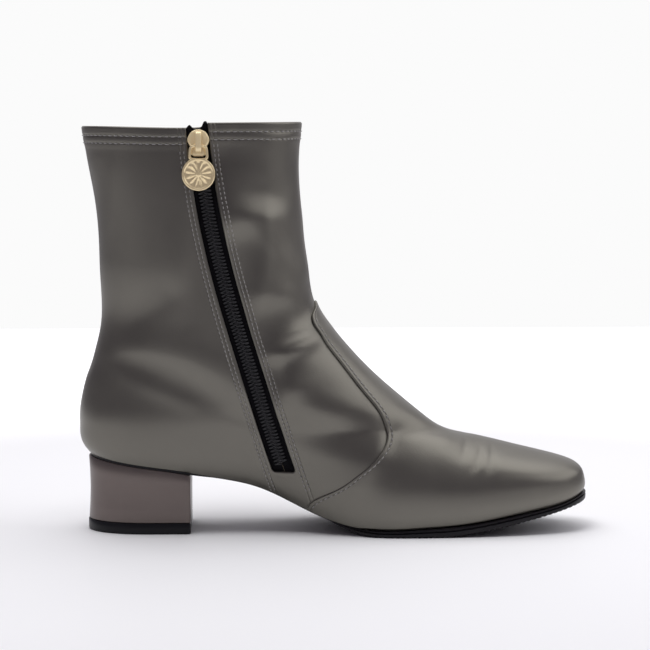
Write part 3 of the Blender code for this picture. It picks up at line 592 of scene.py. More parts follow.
def bump_from(material, shader, height, strength, distance):
    """Bump of this depth from a height that runs from 0 to 1."""
    bump = add(material, "Bump", {"Height": height, "Strength": strength, "Distance": distance})
    plug(material, bump.outputs["Normal"], shader.inputs["Normal"])


def cloth_finish(name, colour, scale):
    """Woven cloth: two crossed waves as bump, with a cloudy tone."""
    material, shader = new_finish(name, colour, 0.85, 0.0, {"Sheen Weight": 0.3})
    place = object_place(material)
    threads = []
    for direction in ("X", "Z"):
        inputs = {"Vector": place, "Scale": scale, "Distortion": 0.4}
        wave = add(material, "TexWave", inputs, bands_direction=direction)
        threads.append(wave.outputs["Fac"])
    weave = add(material, "Math", {0: threads[0], 1: threads[1]}, operation="ADD")
    cloud = add(material, "TexNoise", {"Vector": place, "Scale": 60.0, "Detail": 4.0})
    vary_colour(material, shader, cloud.outputs["Fac"], *shades(colour, 0.85, 1.12))
    bump_from(material, shader, weave.outputs[0], 0.4, 0.0001)
    return material


def make_lining():
    """The upper's own rings and slot, between the leather's inside and the wall's inner face."""
    rings = np.linspace(*LINING_RINGS, 70)
    first, last, closed = slot_ends(rings, LINING_BACK)
    turn = first[:, None] + np.linspace(0, 1, 121) * (last - first)[:, None]
    ring = np.broadcast_to(rings[:, None], turn.shape)
    outer = skin(turn, ring, -LEATHER - LINING_GAP)
    points, groups = wall(outer, skin(turn, ring, -WALL), closed)
    finish = cloth_finish("taupe lining", (0.30, 0.255, 0.20), 700.0)
    make_piece("upper_lining", points, groups, finish, "insole_cloth")


make_lining()

# Seam threads: grey polyester in short lock stitches. Two rows hold the hem down round the collar, and two
# rows on each side of the slot sew the zip's tapes in and run on down to the feather edge.
STITCH_RADIUS, STITCH_SHARE = 0.00028, 0.62
HEM_PITCH, ZIP_PITCH = 0.0033, 0.0024
THREAD_SUNK = 0.00006
HEM_STITCH_END = 0.0016  # from the slot's edge
ZIP_STITCH_TOP, ZIP_STITCH_FRONT_FOOT, ZIP_STITCH_BACK_FOOT = 0.1975, 0.0195, 0.0245


def thread_finish():
    """Twisted thread: a fine slanted wave as bump."""
    material, shader = new_finish("grey thread", (0.29, 0.28, 0.27), 0.55, 0.0, {"Sheen Weight": 0.2})
    place = object_place(material)
    twist = add(material, "TexWave", {"Vector": place, "Scale": 2600.0}, bands_direction="DIAGONAL")
    vary_colour(material, shader, twist.outputs["Fac"], (0.25, 0.24, 0.235), (0.33, 0.32, 0.305))
    bump_from(material, shader, twist.outputs["Fac"], 0.5, 0.00005)
    return material


def closed_rows(number):
    """Rows of vertex numbers that end on their first one again."""
    return np.concatenate([number, number[..., :1]], axis=-1)


def stitches(path, out, pitch):
    """Capsules spaced evenly along a path: round sections whose radius closes at the ends, bowed so that
    the ends dip into the leather. out is the surface's normal at each point of the path."""
    along = np.concatenate([[0], np.cumsum(np.linalg.norm(np.diff(path, axis=0), axis=1))])
    count = max(int(along[-1] / pitch), 1)
    at = (np.arange(count) + 0.5) * along[-1] / count
    half = STITCH_SHARE * pitch / 2

    def read(values, places):
        return np.stack([np.interp(places, along, values[:, k]) for k in range(3)], axis=-1)

    middle, normal = read(path, at), unit(read(out, at))
    ahead = unit(read(path, at + half) - read(path, at - half))
    beside = np.cross(ahead, normal)
    reach = np.array([-1, -0.92, -0.6, 0, 0.6, 0.92, 1])
    radius = STITCH_RADIUS * np.array([0.35, 0.7, 1, 1, 1, 0.7, 0.35])
    bow = STITCH_RADIUS * (0.55 - 1.1 * reach**4) - THREAD_SUNK
    angle = np.arange(6) * math.pi / 3
    sides = radius[:, None, None] * np.stack([np.cos(angle), np.sin(angle)], axis=-1)
    points = middle[:, None, None] + half * reach[:, None, None] * ahead[:, None, None]
    points = points + bow[:, None, None] * normal[:, None, None]
    points = points + sides[..., :1] * beside[:, None, None] + sides[..., 1:] * normal[:, None, None]
    number = np.arange(points[..., 0].size).reshape(points.shape[:3])
    ring = closed_rows(number)
    tubes = (ring[:, :-1, :-1], ring[:, :-1, 1:], ring[:, 1:, 1:], ring[:, 1:, :-1])
    tubes = np.stack(tubes, axis=-1).reshape(-1, 4)
    caps = np.concatenate([number[:, 0, ::-1], number[:, -1]])
    return points.reshape(-1, 3), [tubes, caps]


def joined_runs(runs):
    """Several meshes of like faces as one: each run's vertex numbers start after the last run's."""
    points = np.concatenate([run[0] for run in runs])
    starts = np.cumsum([0] + [len(run[0]) for run in runs])
    kinds = len(runs[0][1])
    groups = [np.concatenate([run[1][k] + s for run, s in zip(runs, starts)]) for k in range(kinds)]
    return points, groups


def beside_zip(rise, beside, lift):
    """Points at these heights on the zip's line, moved sideways along the wall and lifted off it."""
    rise, beside, lift = np.broadcast_arrays(*(np.asarray(q, float) for q in (rise, beside, lift)))
    slope = zip_slope(rise)
    size = np.sqrt(1 + slope**2)
    turn, ring = find_on_inner_side(zip_x(rise) + beside / size, rise + beside * slope / size)
    return skin(turn, ring, lift), last_normal(turn, ring)


def make_seam_threads():
    """The hem's rows follow rings from one side of the slot round to the other, and the zip's rows follow
    lines beside the zip's middle line."""
    finish = thread_finish()
    runs = []
    for below in HEM_STITCH_ROWS:
        ring = np.full(240, COLLAR_RING - below / TOP_RING_HEIGHT)
        end = np.full(240, SLOT_HALF_WIDTH + HEM_STITCH_END)
        turn = np.linspace(slot_turn(ring, end)[0], slot_turn(ring, -end)[0] + 2 * math.pi, 240)
        runs.append(stitches(skin(turn, ring, HEM_STEP), last_normal(turn, ring), HEM_PITCH))
    make_piece("hem_stitches", *joined_runs(runs), finish, "leather")
    runs = []
    for row in ZIP_STITCH_ROWS:
        for side, foot in ((1, ZIP_STITCH_FRONT_FOOT), (-1, ZIP_STITCH_BACK_FOOT)):
            rise = np.linspace(ZIP_STITCH_TOP, foot, 160)
            path, out = beside_zip(rise, side * (SLOT_HALF_WIDTH + row), 0.0)
            runs.append(stitches(path, out, ZIP_PITCH))
    make_piece("zip_stitches", *joined_runs(runs), finish, "leather")
    return finish


thread = make_seam_threads()

# Vamp: a second layer of the same leather, lapped over the upper from a tongue on the instep to the sole.
# Its edge is folded under and sewn with one row of stitches a few millimetres inside the fold.
VAMP_LIFT, VAMP_UNDER, VAMP_ROUNDING = 0.0012, 0.0001, 0.0009
VAMP_FOOT_RING, VAMP_MIDDLE_RING, VAMP_TIP_RING, VAMP_TOP_RING = 0.25, 4.5, 11.75, 12.12
TONGUE_HALF_ANGLE = 0.10
VAMP_STITCH_ROW, VAMP_PITCH, VAMP_STITCH_FOOT_RING = 0.0026, 0.0030, 0.6
VAMP_EDGE_STEPS = np.array([0, 0.12, 0.3, 0.6, 1.0, 1.6, 2.2, 2.6, 3.0, 3.8]) / 1000

# Columns along and rise: the vamp's edge in the side view, from the sole to the tongue
SEAM = (
    (0.1155, 0.0125),
    (0.1190, 0.0178),
    (0.1299, 0.0236),
    (0.1399, 0.0303),
    (0.1483, 0.0367),
    (0.1535, 0.0423),
    (0.1556, 0.0492),
    (0.1532, 0.0585),
    (0.1423, 0.0745),
    (0.1280, 0.0930),
    (0.1190, 0.1062),
    (0.1184, 0.1108),
)


def vamp_half_angle(ring):
    """How far the vamp reaches on either side of the front line: it closes like an ellipse at the tip."""
    turn, at = find_on_inner_side(*np.array(SEAM).T)
    turn, at = np.append(turn, math.pi - TONGUE_HALF_ANGLE), np.append(at, VAMP_TOP_RING)
    past = np.clip((ring - VAMP_TIP_RING) / (VAMP_TOP_RING - VAMP_TIP_RING), 0, 0.9999)
    return (math.pi - spline(at, turn, ring)[..., 0]) * np.sqrt(1 - past**2)


def vamp_pace(ring):
    """Metres to a radian of turn at the vamp's edge."""
    turn = math.pi - vamp_half_angle(ring)
    return np.linalg.norm(last_point(turn + 1e-3, ring) - last_point(turn, ring), axis=-1) / 1e-3


def make_vamp():
    """Rows are rings and columns run from edge to edge. The lift falls off at the edges as a quarter
    circle, by the distance from the nearest edge in metres."""
    tip = VAMP_TOP_RING - (VAMP_TOP_RING - VAMP_TIP_RING) * np.linspace(1, 0.02, 14) ** 2
    foot = np.linspace(VAMP_FOOT_RING, VAMP_MIDDLE_RING, 64)
    instep = np.linspace(VAMP_MIDDLE_RING, VAMP_TIP_RING, 92)
    rings = np.concatenate([foot, instep[1:], tip[1:]])
    half = vamp_half_angle(rings)
    most = half[:, None] * np.linspace(0, 0.8, len(VAMP_EDGE_STEPS))
    inset = np.minimum(VAMP_EDGE_STEPS / vamp_pace(rings)[:, None], most)
    inside = np.linspace(-1, 1, 132)[1:-1] * (half - inset[:, -1])[:, None]
    turn = [-half[:, None] + inset, inside, (half[:, None] - inset)[:, ::-1]]
    turn = np.concatenate(turn, axis=1) + math.pi
    ring = np.broadcast_to(rings[:, None], turn.shape)
    from_edge = (half[:, None] - np.abs(turn - math.pi)) * vamp_pace(rings)[:, None]
    tip_pace = 0.0150  # metres to a ring at the tongue
    from_edge = np.minimum(from_edge, (VAMP_TOP_RING - ring) * tip_pace)
    outer = skin(turn, ring, VAMP_LIFT + rounded_edge(from_edge, VAMP_ROUNDING))
    points, groups = wall(outer, skin(turn, ring, VAMP_UNDER))
    seams = np.stack([np.clip(from_edge, 0, UV_SPAN), np.zeros(turn.shape)], axis=-1) / UV_SPAN
    finish = leather_finish("pewter vamp leather", PEWTER, (VAMP_STITCH_ROW,))
    make_piece("vamp_leather", points, groups, finish, "leather", ["vamp"], uv=np.stack([seams, seams]))
    rings = np.linspace(VAMP_STITCH_FOOT_RING, VAMP_TIP_RING - 0.1, 300)
    edge = vamp_half_angle(rings) - VAMP_STITCH_ROW / vamp_pace(rings)
    runs = []
    for side in (-1, 1):
        turn = math.pi + side * edge
        runs.append(stitches(skin(turn, rings, VAMP_LIFT), last_normal(turn, rings), VAMP_PITCH))
    make_piece("vamp_stitches", *joined_runs(runs), thread, "leather")


make_vamp()

# Zip tapes: two black woven ribbons sewn in behind the slot, one on each side of the coil. Above the slider
# they part, and their folded ends show as small dark corners at the collar.
TAPE_HALF_WIDTH, TAPE_THICKNESS, TAPE_FOOT, TAPE_TOP = 0.0125, 0.0005, 0.0270, 0.2062
TAPE_CORNER, TAPE_CORNER_START = 0.0027, 0.95  # a rise in metres from this share of the length
TAPE_CORNER_NEAR, TAPE_CORNER_FAR = (0.0020, 0.0040), (0.0050, 0.0060)  # where it starts and ends across
TAPE_SPLIT, TAPE_SPLIT_HEIGHT = 0.0016, 0.2020
SLIDER_HEIGHT = 0.1985


def tape_finish():
    """Twill ribbon: crossed fine waves along and across it, black with a dull sheen."""
    dull = {"Specular IOR Level": 0.12}
    material, shader = new_finish("black tape", (0.004, 0.004, 0.005), 0.8, 0.0, dull)
    flat = add(material, "UVMap", uv_map="seams").outputs["UV"]
    along = add(material, "TexWave", {"Vector": flat, "Scale": 60.0}, bands_direction="Y")
    across = add(material, "TexWave", {"Vector": flat, "Scale": 18.0}, bands_direction="DIAGONAL")
    weave = add(material, "Math", {0: along.outputs["Fac"], 1: across.outputs["Fac"]}, operation="ADD")
    vary_colour(material, shader, across.outputs["Fac"], (0.003, 0.003, 0.004), (0.008, 0.007, 0.009))
    bump_from(material, shader, weave.outputs[0], 0.6, 0.00012)
    return material


def make_tapes():
    """A strip from the coil's middle outwards, as rows up the zip and columns across it."""
    finish = tape_finish()
    for name, side in (("front", 1), ("back", -1)):
        straight = np.linspace(0, TAPE_CORNER_START, 120)
        folded = np.linspace(TAPE_CORNER_START + 0.005, 1, 12)
        share = np.concatenate([straight, folded])[:, None]
        middle = TAPE_FOOT + share * (TAPE_TOP - TAPE_FOOT)
        split = GAP / 2 + TAPE_SPLIT * ease(SLIDER_HEIGHT, TAPE_SPLIT_HEIGHT, middle)
        across = split + (TAPE_HALF_WIDTH - split) * np.linspace(0, 1, 25)
        corner = ease(*TAPE_CORNER_NEAR, across) * (1 - ease(*TAPE_CORNER_FAR, across))
        rise = middle + TAPE_CORNER * corner * ease(TAPE_CORNER_START, 1, share)
        face = -(WALL + GAP)
        outer = beside_zip(rise, side * across, face)[0]
        inner = beside_zip(rise, side * across, face - TAPE_THICKNESS)[0]
        points, groups = wall(outer, inner)
        flat = np.stack([across, rise], axis=-1) / UV_SPAN
        node = "zip_tape_" + name
        make_piece(node + "_woven", points, groups, finish, "zip_tape", [node], uv=np.stack([flat, flat]))


make_tapes()

# Zip chain: two coils of black nylon wire sewn to the tapes' edges, whose loops mesh along the middle line.
# The zip is done up, so the chain is closed from its foot to the slider.
CHAIN_FOOT, CHAIN_TOP = 0.0345, SLIDER_HEIGHT + 0.0022
COIL_PITCH, COIL_WIRE = 0.0018, 0.00036
COIL_IN, COIL_OUT = -0.00035, 0.00305
COIL_MIDDLE, COIL_RISE = -0.0008, 0.00042


def zip_line(count):
    """Points down the zip's middle line on the wall's face, with the directions along, out and sideways."""
    rise = np.linspace(CHAIN_TOP, CHAIN_FOOT, count)
    path, out = beside_zip(rise, 0.0, 0.0)
    ahead = unit(np.gradient(path, axis=0))
    aside = unit(np.cross(ahead, out))
    along = np.concatenate([[0], np.cumsum(np.linalg.norm(np.diff(path, axis=0), axis=1))])
    return path, ahead, out, aside, along


def tube(path, radius, sides, out):
    """A round wire along an open path, with flat ends: circles square to the path."""
    ahead = unit(np.gradient(path, axis=0))
    first = unit(np.cross(ahead, out))
    second = np.cross(ahead, first)
    angle = np.arange(sides) * 2 * math.pi / sides
    circle = np.cos(angle)[:, None] * first[:, None] + np.sin(angle)[:, None] * second[:, None]
    points = path[:, None] + np.broadcast_to(radius, len(path))[:, None, None] * circle
    number = np.arange(len(path) * sides).reshape(len(path), sides)
    return points.reshape(-1, 3), [quads(closed_rows(number)), np.stack([number[0, ::-1], number[-1]])]


def make_coil():
    """Each side is a flattened helix: across the tape it swings between two limits and off the wall it rises
    and falls a quarter turn later, while it moves down by one pitch a turn. The sides are half a pitch
    apart."""
    line, ahead, out, aside, along = zip_line(160)
    turns = int(along[-1] / COIL_PITCH) - 1
    runs = []
    for side in (-1, 1):
        phase = np.linspace(0, 2 * math.pi * turns, turns * 18)
        at = phase * COIL_PITCH / (2 * math.pi) + COIL_PITCH * (0.5 + 0.25 * side)
        base, face, beside = (
            np.stack([np.interp(at, along, v[:, k]) for k in range(3)], axis=-1) for v in (line, out, aside)
        )
        swing = (COIL_IN + COIL_OUT) / 2 - (COIL_OUT - COIL_IN) / 2 * np.cos(phase)
        lift = COIL_MIDDLE + COIL_RISE * np.sin(phase)
        path = base + side * swing[:, None] * beside + lift[:, None] * face
        runs.append(tube(path, COIL_WIRE, 7, face))
    material, shader = new_finish("black nylon", (0.012, 0.012, 0.014), 0.28, 0.0, {"Coat Weight": 0.3})
    place = object_place(material)
    scuff = add(material, "TexNoise", {"Vector": place, "Scale": 900.0, "Detail": 3.0})
    vary_roughness(material, shader, scuff.outputs["Fac"], 0.2, 0.4)
    vary_colour(material, shader, scuff.outputs["Fac"], (0.009, 0.009, 0.011), (0.018, 0.018, 0.020))
    make_piece("zip_coil", *joined_runs(runs), material, "zip_tape", ["zip_chain"], sharp=80)


make_coil()

# Slider: die-cast, plated pale gold. A crowned plate lies over the coil and one under it, a post joins
# them, and a bridge over the upper plate holds the pull.
PLATE_LIFT, PLATE_THICKNESS, PLATE_LEAST_WIDTH = 0.00035, 0.0014, 0.0002

# Columns up and half width: the plate's outline
PLATE = (
    (-0.0068, 0.0020),
    (-0.0062, 0.0031),
    (-0.0030, 0.0036),
    (-0.0012, 0.0044),
    (0.0006, 0.0053),
    (0.0022, 0.0054),
    (0.0042, 0.0045),
    (0.0058, 0.0030),
    (0.0066, 0.0012),
)
BACK_PLATE_LIFT, BACK_PLATE_THICKNESS, BACK_PLATE_INSET = -0.0038, 0.0010, 0.0004
POST_HALF_WIDTH, POST_LOW, POST_HIGH = 0.0010, 0.0042, 0.0060
BRIDGE_HALF_WIDTH, BRIDGE_THICKNESS, BRIDGE_ROOM = 0.0015, 0.0011, 0.0020
BRIDGE_LOW, BRIDGE_HIGH = -0.0048, 0.0058
PULL_BAR_UP = -0.0015


def gold_finish(name, metallic):
    """Polished plating: fine casting ripple as bump and faint wear in the gloss."""
    material, shader = new_finish(name, (0.98, 0.80, 0.48), 0.2, metallic)
    place = object_place(material)
    ripple = add(material, "TexNoise", {"Vector": place, "Scale": 420.0, "Detail": 2.0})
    wear = add(material, "TexNoise", {"Vector": place, "Scale": 1500.0, "Detail": 4.0})
    vary_roughness(material, shader, wear.outputs["Fac"], 0.14, 0.30)
    vary_colour(material, shader, wear.outputs["Fac"], (0.95, 0.76, 0.43), (1.0, 0.84, 0.54))
    bump_from(material, shader, ripple.outputs["Fac"], 0.15, 0.0002)
    return material


def on_slider(points):
    """From the slider's own frame, X to the toe along the wall, Y into the boot and Z up, to the boot's."""
    turn, ring = find_on_inner_side(zip_x(SLIDER_HEIGHT), SLIDER_HEIGHT)
    out = last_normal(turn, ring)
    yaw = math.atan2(out[0], -out[1])
    spin = np.array([[math.cos(yaw), -math.sin(yaw), 0], [math.sin(yaw), math.cos(yaw), 0], [0, 0, 1]])
    return np.asarray(points) @ spin.T + last_point(turn, ring)


def loft(loops):
    """Faces through closed loops that run down one side and back up the other, with ladders as ends."""
    loops = np.asarray(loops)
    count, size = loops.shape[:2]
    number = np.arange(count * size).reshape(count, size)
    half = size // 2
    caps = [ladder(row[:half], row[::-1][:half]) for row in (number[0], number[-1])]
    return loops.reshape(-1, 3), [np.concatenate([quads(closed_rows(number)), caps[0], caps[1][:, ::-1]])]


def plate_loop(lift, less):
    """The plate's outline through its table's rows, at this lift and drawn in by less."""
    foot, head = PLATE[0][0], PLATE[-1][0]
    middle, reach = (head + foot) / 2, (head - foot) / 2
    up = head - reach * (1 - np.cos(np.linspace(0, math.pi, 33)))
    half_width = np.maximum(column(PLATE, up) - less, PLATE_LEAST_WIDTH)
    up = middle + (up - middle) * (1 - less / reach)
    edge = np.stack([half_width, np.full(33, -lift), up], axis=-1)
    return np.concatenate([edge, edge[::-1] * np.array([-1, 1, 1])])


def signed_power(values, power):
    """Each value's size to a power, with its sign: a power under 1 turns a circle into a rounded box."""
    return np.sign(values) * np.abs(values) ** power


def bridge_strap():
    """A strap with a rounded section along a flat-topped arch: the fourth powers of its share and height
    add up to one."""
    base = PLATE_LIFT + PLATE_THICKNESS * 0.6
    height = PLATE_THICKNESS * 0.4 + BRIDGE_ROOM + BRIDGE_THICKNESS / 2
    t = np.linspace(0, math.pi, 41)
    flat = signed_power(np.cos(t), 0.5)
    reach = (BRIDGE_HIGH - BRIDGE_LOW - BRIDGE_THICKNESS) / 2
    up = (BRIDGE_HIGH + BRIDGE_LOW) / 2 + reach * flat
    lift = base + height * np.sin(t) ** 0.5
    path = np.stack([np.zeros(41), -lift, up], axis=-1)
    ahead = unit(np.gradient(path, axis=0))
    over = np.cross(ahead, [1.0, 0, 0])
    angle = (np.arange(16) + 0.5) * 2 * math.pi / 16
    wide = BRIDGE_HALF_WIDTH * signed_power(np.sin(angle), 0.6)
    thick = BRIDGE_THICKNESS / 2 * signed_power(np.cos(angle), 0.6)
    return path[:, None] + wide[:, None] * np.array([1.0, 0, 0]) + thick[:, None] * over[:, None]


def make_slider():
    """Each plate is a loft of its outline through rows of lift and inset, so that its edges are rounded and
    the upper one is crowned."""
    top = PLATE_LIFT + PLATE_THICKNESS
    crown = (
        (PLATE_LIFT, 0.0003),
        (PLATE_LIFT + 0.0003, 0),
        (top - 0.0007, 0),
        (top - 0.0004, 0.0001),
        (top - 0.00015, 0.0004),
        (top, 0.0009),
        (top + 0.0001, 0.0018),
    )
    plate = loft([plate_loop(lift, less) for lift, less in crown])
    back_foot = BACK_PLATE_LIFT
    back_top = back_foot + BACK_PLATE_THICKNESS
    under = ((back_foot, 0.0004), (back_foot + 0.0003, 0), (back_top - 0.0002, 0), (back_top, 0.0002))
    back = loft([plate_loop(lift, less + BACK_PLATE_INSET) for lift, less in under])
    corners = ((POST_HALF_WIDTH, POST_HIGH), (POST_HALF_WIDTH, POST_LOW))
    corners += tuple((-x, z) for x, z in reversed(corners))
    post = loft([[(x, -lift, z) for x, z in corners] for lift in (back_top - 0.0005, top - 0.0007)])
    points, groups = joined_runs([plate, back, post, loft(bridge_strap())])
    # The slider's plating is a less metallic copy of the pull's, so it reads brighter: painted light against
    # the shade its bridge casts.
    finish = gold_finish("pale gold slider", 0.30)
    make_piece("slider_gold", on_slider(points), groups, finish, "gold", ["zip_slider"])


make_slider()

# Pull: a cast window that hangs on a bar under the slider's bridge, with a round medallion below it. The
# medallion has a raised rim and plain flutes that spread from its middle.
PULL_WINDOW, PULL_BAR = 0.0060, 0.0007
PULL_TOP_WIDTH, PULL_FOOT_WIDTH = 0.0039, 0.0045
MEDAL_RADIUS, MEDAL_THICKNESS, MEDAL_DOWN = 0.0083, 0.0015, 0.0140
MEDAL_FLAT = 0.0076  # its top is flat this far above its middle, under the window
FLUTES, FLUTE_DEPTH = 12, 0.00055


def pull_window():
    """A rounded section carried round a rounded trapezium, a circle's sine and cosine to a power under 1."""
    t = np.linspace(0, 2 * math.pi, 80, endpoint=False)
    bend = 0.42
    across = signed_power(np.cos(t), bend)
    down = signed_power(np.sin(t), bend)
    height = PULL_WINDOW + PULL_BAR
    half = (PULL_TOP_WIDTH + PULL_FOOT_WIDTH) / 2 + (PULL_FOOT_WIDTH - PULL_TOP_WIDTH) / 2 * down
    path = np.stack([half * across, np.zeros(80), -height / 2 * (1 + down)], axis=-1)
    ahead = unit(np.roll(path, -1, axis=0) - np.roll(path, 1, axis=0))
    aside = np.cross(ahead, [0, 1.0, 0])
    angle = np.arange(14) * 2 * math.pi / 14
    wide = PULL_BAR * signed_power(np.cos(angle), 0.8)
    thick = PULL_BAR * signed_power(np.sin(angle), 0.8)
    points = path[:, None] + wide[:, None] * aside[:, None] + thick[:, None] * np.array([0, 1.0, 0])
    ring = closed_rows(np.arange(80 * 14).reshape(80, 14))
    return points.reshape(-1, 3), [quads(np.concatenate([ring, ring[:1]]))]


def medallion():
    """Rings about the middle, from the front's middle over the rim to the back's, in rows of radius and
    lift, less the size of a cosine of the turn as hollow flutes between the hub and the rim."""
    half, rim = MEDAL_THICKNESS / 2, MEDAL_RADIUS
    front = (
        (0.0002, half + 0.00010),
        (0.0006, half + 0.00008),
        (0.0010, half - 0.00002),
        (0.0013, half - 0.00025),
        (0.0016, half - 0.00034),
        (0.0020, half - 0.00030),
        (0.0026, half - 0.00026),
        (0.0034, half - 0.00022),
        (0.0042, half - 0.00020),
        (0.0050, half - 0.00020),
        (0.0056, half - 0.00024),
        (0.0061, half - 0.00032),
        (0.0065, half - 0.00044),
        (0.0068, half - 0.00046),
        (0.0070, half - 0.00034),
        (0.0072, half - 0.00008),
        (0.0074, half),
        (rim - 0.0005, half),
        (rim - 0.0002, half - 0.00010),
        (rim, half - 0.00035),
    )
    back = ((rim, -half + 0.00035), (rim - 0.0002, -half + 0.0001), (rim - 0.0006, -half), (0.0072, -half))
    back += ((0.0069, -half + 0.0002), (0.0040, -half + 0.00022), (0.0002, -half + 0.00022))
    radius, lift = np.array(front + back).T
    angle = np.arange(160) * 2 * math.pi / 160
    fluted = ease(0.0012, 0.0040, radius) * (1 - ease(0.0056, 0.0067, radius)) * (lift > 0)
    lift = lift[:, None] - FLUTE_DEPTH * fluted[:, None] * np.abs(np.cos(FLUTES / 2 * angle))
    radius = np.broadcast_to(radius[:, None], lift.shape)
    up = np.minimum(radius * np.cos(angle), MEDAL_FLAT)
    points = np.stack([radius * np.sin(angle), -lift, up - MEDAL_DOWN], axis=-1)
    number = np.arange(lift.size).reshape(lift.shape)
    return points.reshape(-1, 3), [quads(closed_rows(number)), np.stack([number[0, ::-1], number[-1]])]


def make_pull():
    """The window and the medallion as one piece, hung from the bar under the bridge."""
    hang = np.array([0, -(PLATE_LIFT + PLATE_THICKNESS + BRIDGE_ROOM / 2), PULL_BAR_UP])
    window_points, window_groups = pull_window()
    medal_points, medal_groups = medallion()
    points = np.concatenate([window_points, medal_points]) + hang
    groups = window_groups + [group + len(window_points) for group in medal_groups]
    finish = gold_finish("pale gold pull", 0.58)
    make_piece("pull_gold", on_slider(points), groups, finish, "gold", ["zip_pull"], body="pull")


make_pull()

# Outsole: moulded black rubber, stuck on under the upper. A thin lip runs round the forefoot above a groove,
# the tread has cross ribs that show as notches along its lower edge, and the waist is thin and tucked in.
LENGTH = 0.2612
HEEL_BREAST = 0.0567
SEAT_THICKNESS, WAIST_THICKNESS = 0.0008, 0.0009
SEAT_MARGIN, WAIST_MARGIN, FOREFOOT_MARGIN = -0.0006, -0.0055, 0.0030
WAIST_START, WAIST_END, FOREFOOT_START = 0.072, 0.124, 0.152
TREAD_START, TREAD_END = 0.156, 0.185
TOE_SPRING, TOE_SPRING_POWER = 0.0153, 1.3

# Columns share of the way down and inset: the section of the sole's side at the forefoot
SOLE_SIDE = (
    (0.00, 0.0012),
    (0.03, 0.0004),
    (0.07, 0.0001),
    (0.12, 0.0),
    (0.18, 0.0),
    (0.22, 0.0002),
    (0.26, 0.0008),
    (0.34, 0.0009),
    (0.39, 0.0003),
    (0.45, 0.0),
    (0.65, 0.0),
    (0.86, 0.0001),
    (0.94, 0.0004),
    (1.00, 0.0010),
)
RIB_PITCH, RIB_DEPTH, RIB_TOP = 0.0028, 0.0005, 0.9  # the ribs lie below this share of the side
RIB_START, RIB_END, RIB_STEP = (0.140, 0.144), (0.254, 0.256), (0.35, 0.75)


def sole_top(along):
    """The sole's upper face, just under the feather edge."""
    return column(SOLE_LINE, np.clip(along, SOLE_LINE[0][0], SOLE_LINE[-1][0])) - GAP


def sole_bottom(along):
    """Thin under the heel seat and the waist, flat where the forefoot stands, rising to the toe."""
    thin = SEAT_THICKNESS + (WAIST_THICKNESS - SEAT_THICKNESS) * ease(HEEL_BREAST, WAIST_START, along)
    ahead = np.clip((along - TREAD_END) / (LENGTH - TREAD_END), 0, None)
    forefoot = ease(WAIST_END, TREAD_START, along)
    return (sole_top(along) - thin) * (1 - forefoot) + TOE_SPRING * ahead**TOE_SPRING_POWER * forefoot


def rib_groove(along):
    """0 on a rib and 1 in the groove behind it: a steep wave along the tread."""
    wave = np.cos(2 * math.pi * along / RIB_PITCH)
    return ease(*RIB_STEP, wave) * ease(*RIB_START, along) * (1 - ease(*RIB_END, along))


def feather_loop(count, inset):
    """The feather edge moved out in plan by the sole's margin less the side's inset at the forefoot."""
    turn = (np.arange(count) + 0.5) * 2 * math.pi / count
    points = last_point(turn, np.zeros(count))
    along = points[:, 0] + MIDDLE
    tangent = last_point(turn + 1e-3, np.zeros(count)) - last_point(turn - 1e-3, np.zeros(count))
    outward = unit(np.stack([tangent[:, 1], -tangent[:, 0]], axis=-1))
    margin = SEAT_MARGIN + (WAIST_MARGIN - SEAT_MARGIN) * ease(HEEL_BREAST, WAIST_START, along)
    forefoot = ease(WAIST_END, FOREFOOT_START, along)
    margin = margin + (FOREFOOT_MARGIN - WAIST_MARGIN) * forefoot - inset * forefoot
    points[:, :2] += outward * margin[:, None]
    return points


def rubber_finish(name, colour, rough):
    """Moulded rubber: a fine matt grain and cloudy gloss."""
    material, shader = new_finish(name, colour, rough, 0.0, {"Specular IOR Level": 0.25})
    place = object_place(material)
    grain = add(material, "TexNoise", {"Vector": place, "Scale": 2200.0, "Detail": 3.0})
    cloud = add(material, "TexNoise", {"Vector": place, "Scale": 90.0, "Detail": 4.0})
    vary_roughness(material, shader, cloud.outputs["Fac"], rough - 0.08, rough + 0.08)
    vary_colour(material, shader, cloud.outputs["Fac"], *shades(colour, 0.8, 1.3))
    bump_from(material, shader, grain.outputs["Fac"], 0.3, 0.00008)
    return material


def make_outsole():
    """Loops round the sole, one for each row of its side, from the upper face to the tread."""
    loops = []
    for down, inset in SOLE_SIDE:
        loop = feather_loop(640, inset)
        along = loop[:, 0] + MIDDLE
        top, bottom = sole_top(along), sole_bottom(along)
        loop[:, 2] = top + down * (bottom - top) + RIB_DEPTH * rib_groove(along) * (down > RIB_TOP)
        loops.append(loop)
    points, groups = loft(loops)
    finish = rubber_finish("black rubber", (0.008, 0.007, 0.009), 0.42)
    make_piece("outsole_rubber", points, groups, finish, "rubber", ["outsole"], sharp=35)


make_outsole()

# Insole: a board the shape of the last's bottom, covered with a taupe sock lining. It lies inside the wall
# of the upper and closes the boot from below.
INSOLE_THICKNESS = 0.0025


def make_insole():
    """Loops of the last's bottom drawn in by the wall, with the upper edge rounded off."""
    count = 220
    turn = (np.arange(count) + 0.5) * 2 * math.pi / count
    loops = []
    for up, less in ((0, 0), (0.7, 0), (0.9, 0.0002), (1, 0.0007)):
        inside = np.full(count, -WALL - 2 * GAP - less)
        loop = last_point(turn, np.zeros(count)) + inside[:, None] * last_normal(turn, np.zeros(count))
        loop[:, 2] = sole_top(loop[:, 0] + MIDDLE) + GAP + up * INSOLE_THICKNESS
        loops.append(loop)
    points, groups = loft(loops)
    finish = cloth_finish("taupe sock", (0.32, 0.27, 0.215), 420.0)
    make_piece("sock_lining", points, groups, finish, "insole_cloth", ["insole"])


make_insole()

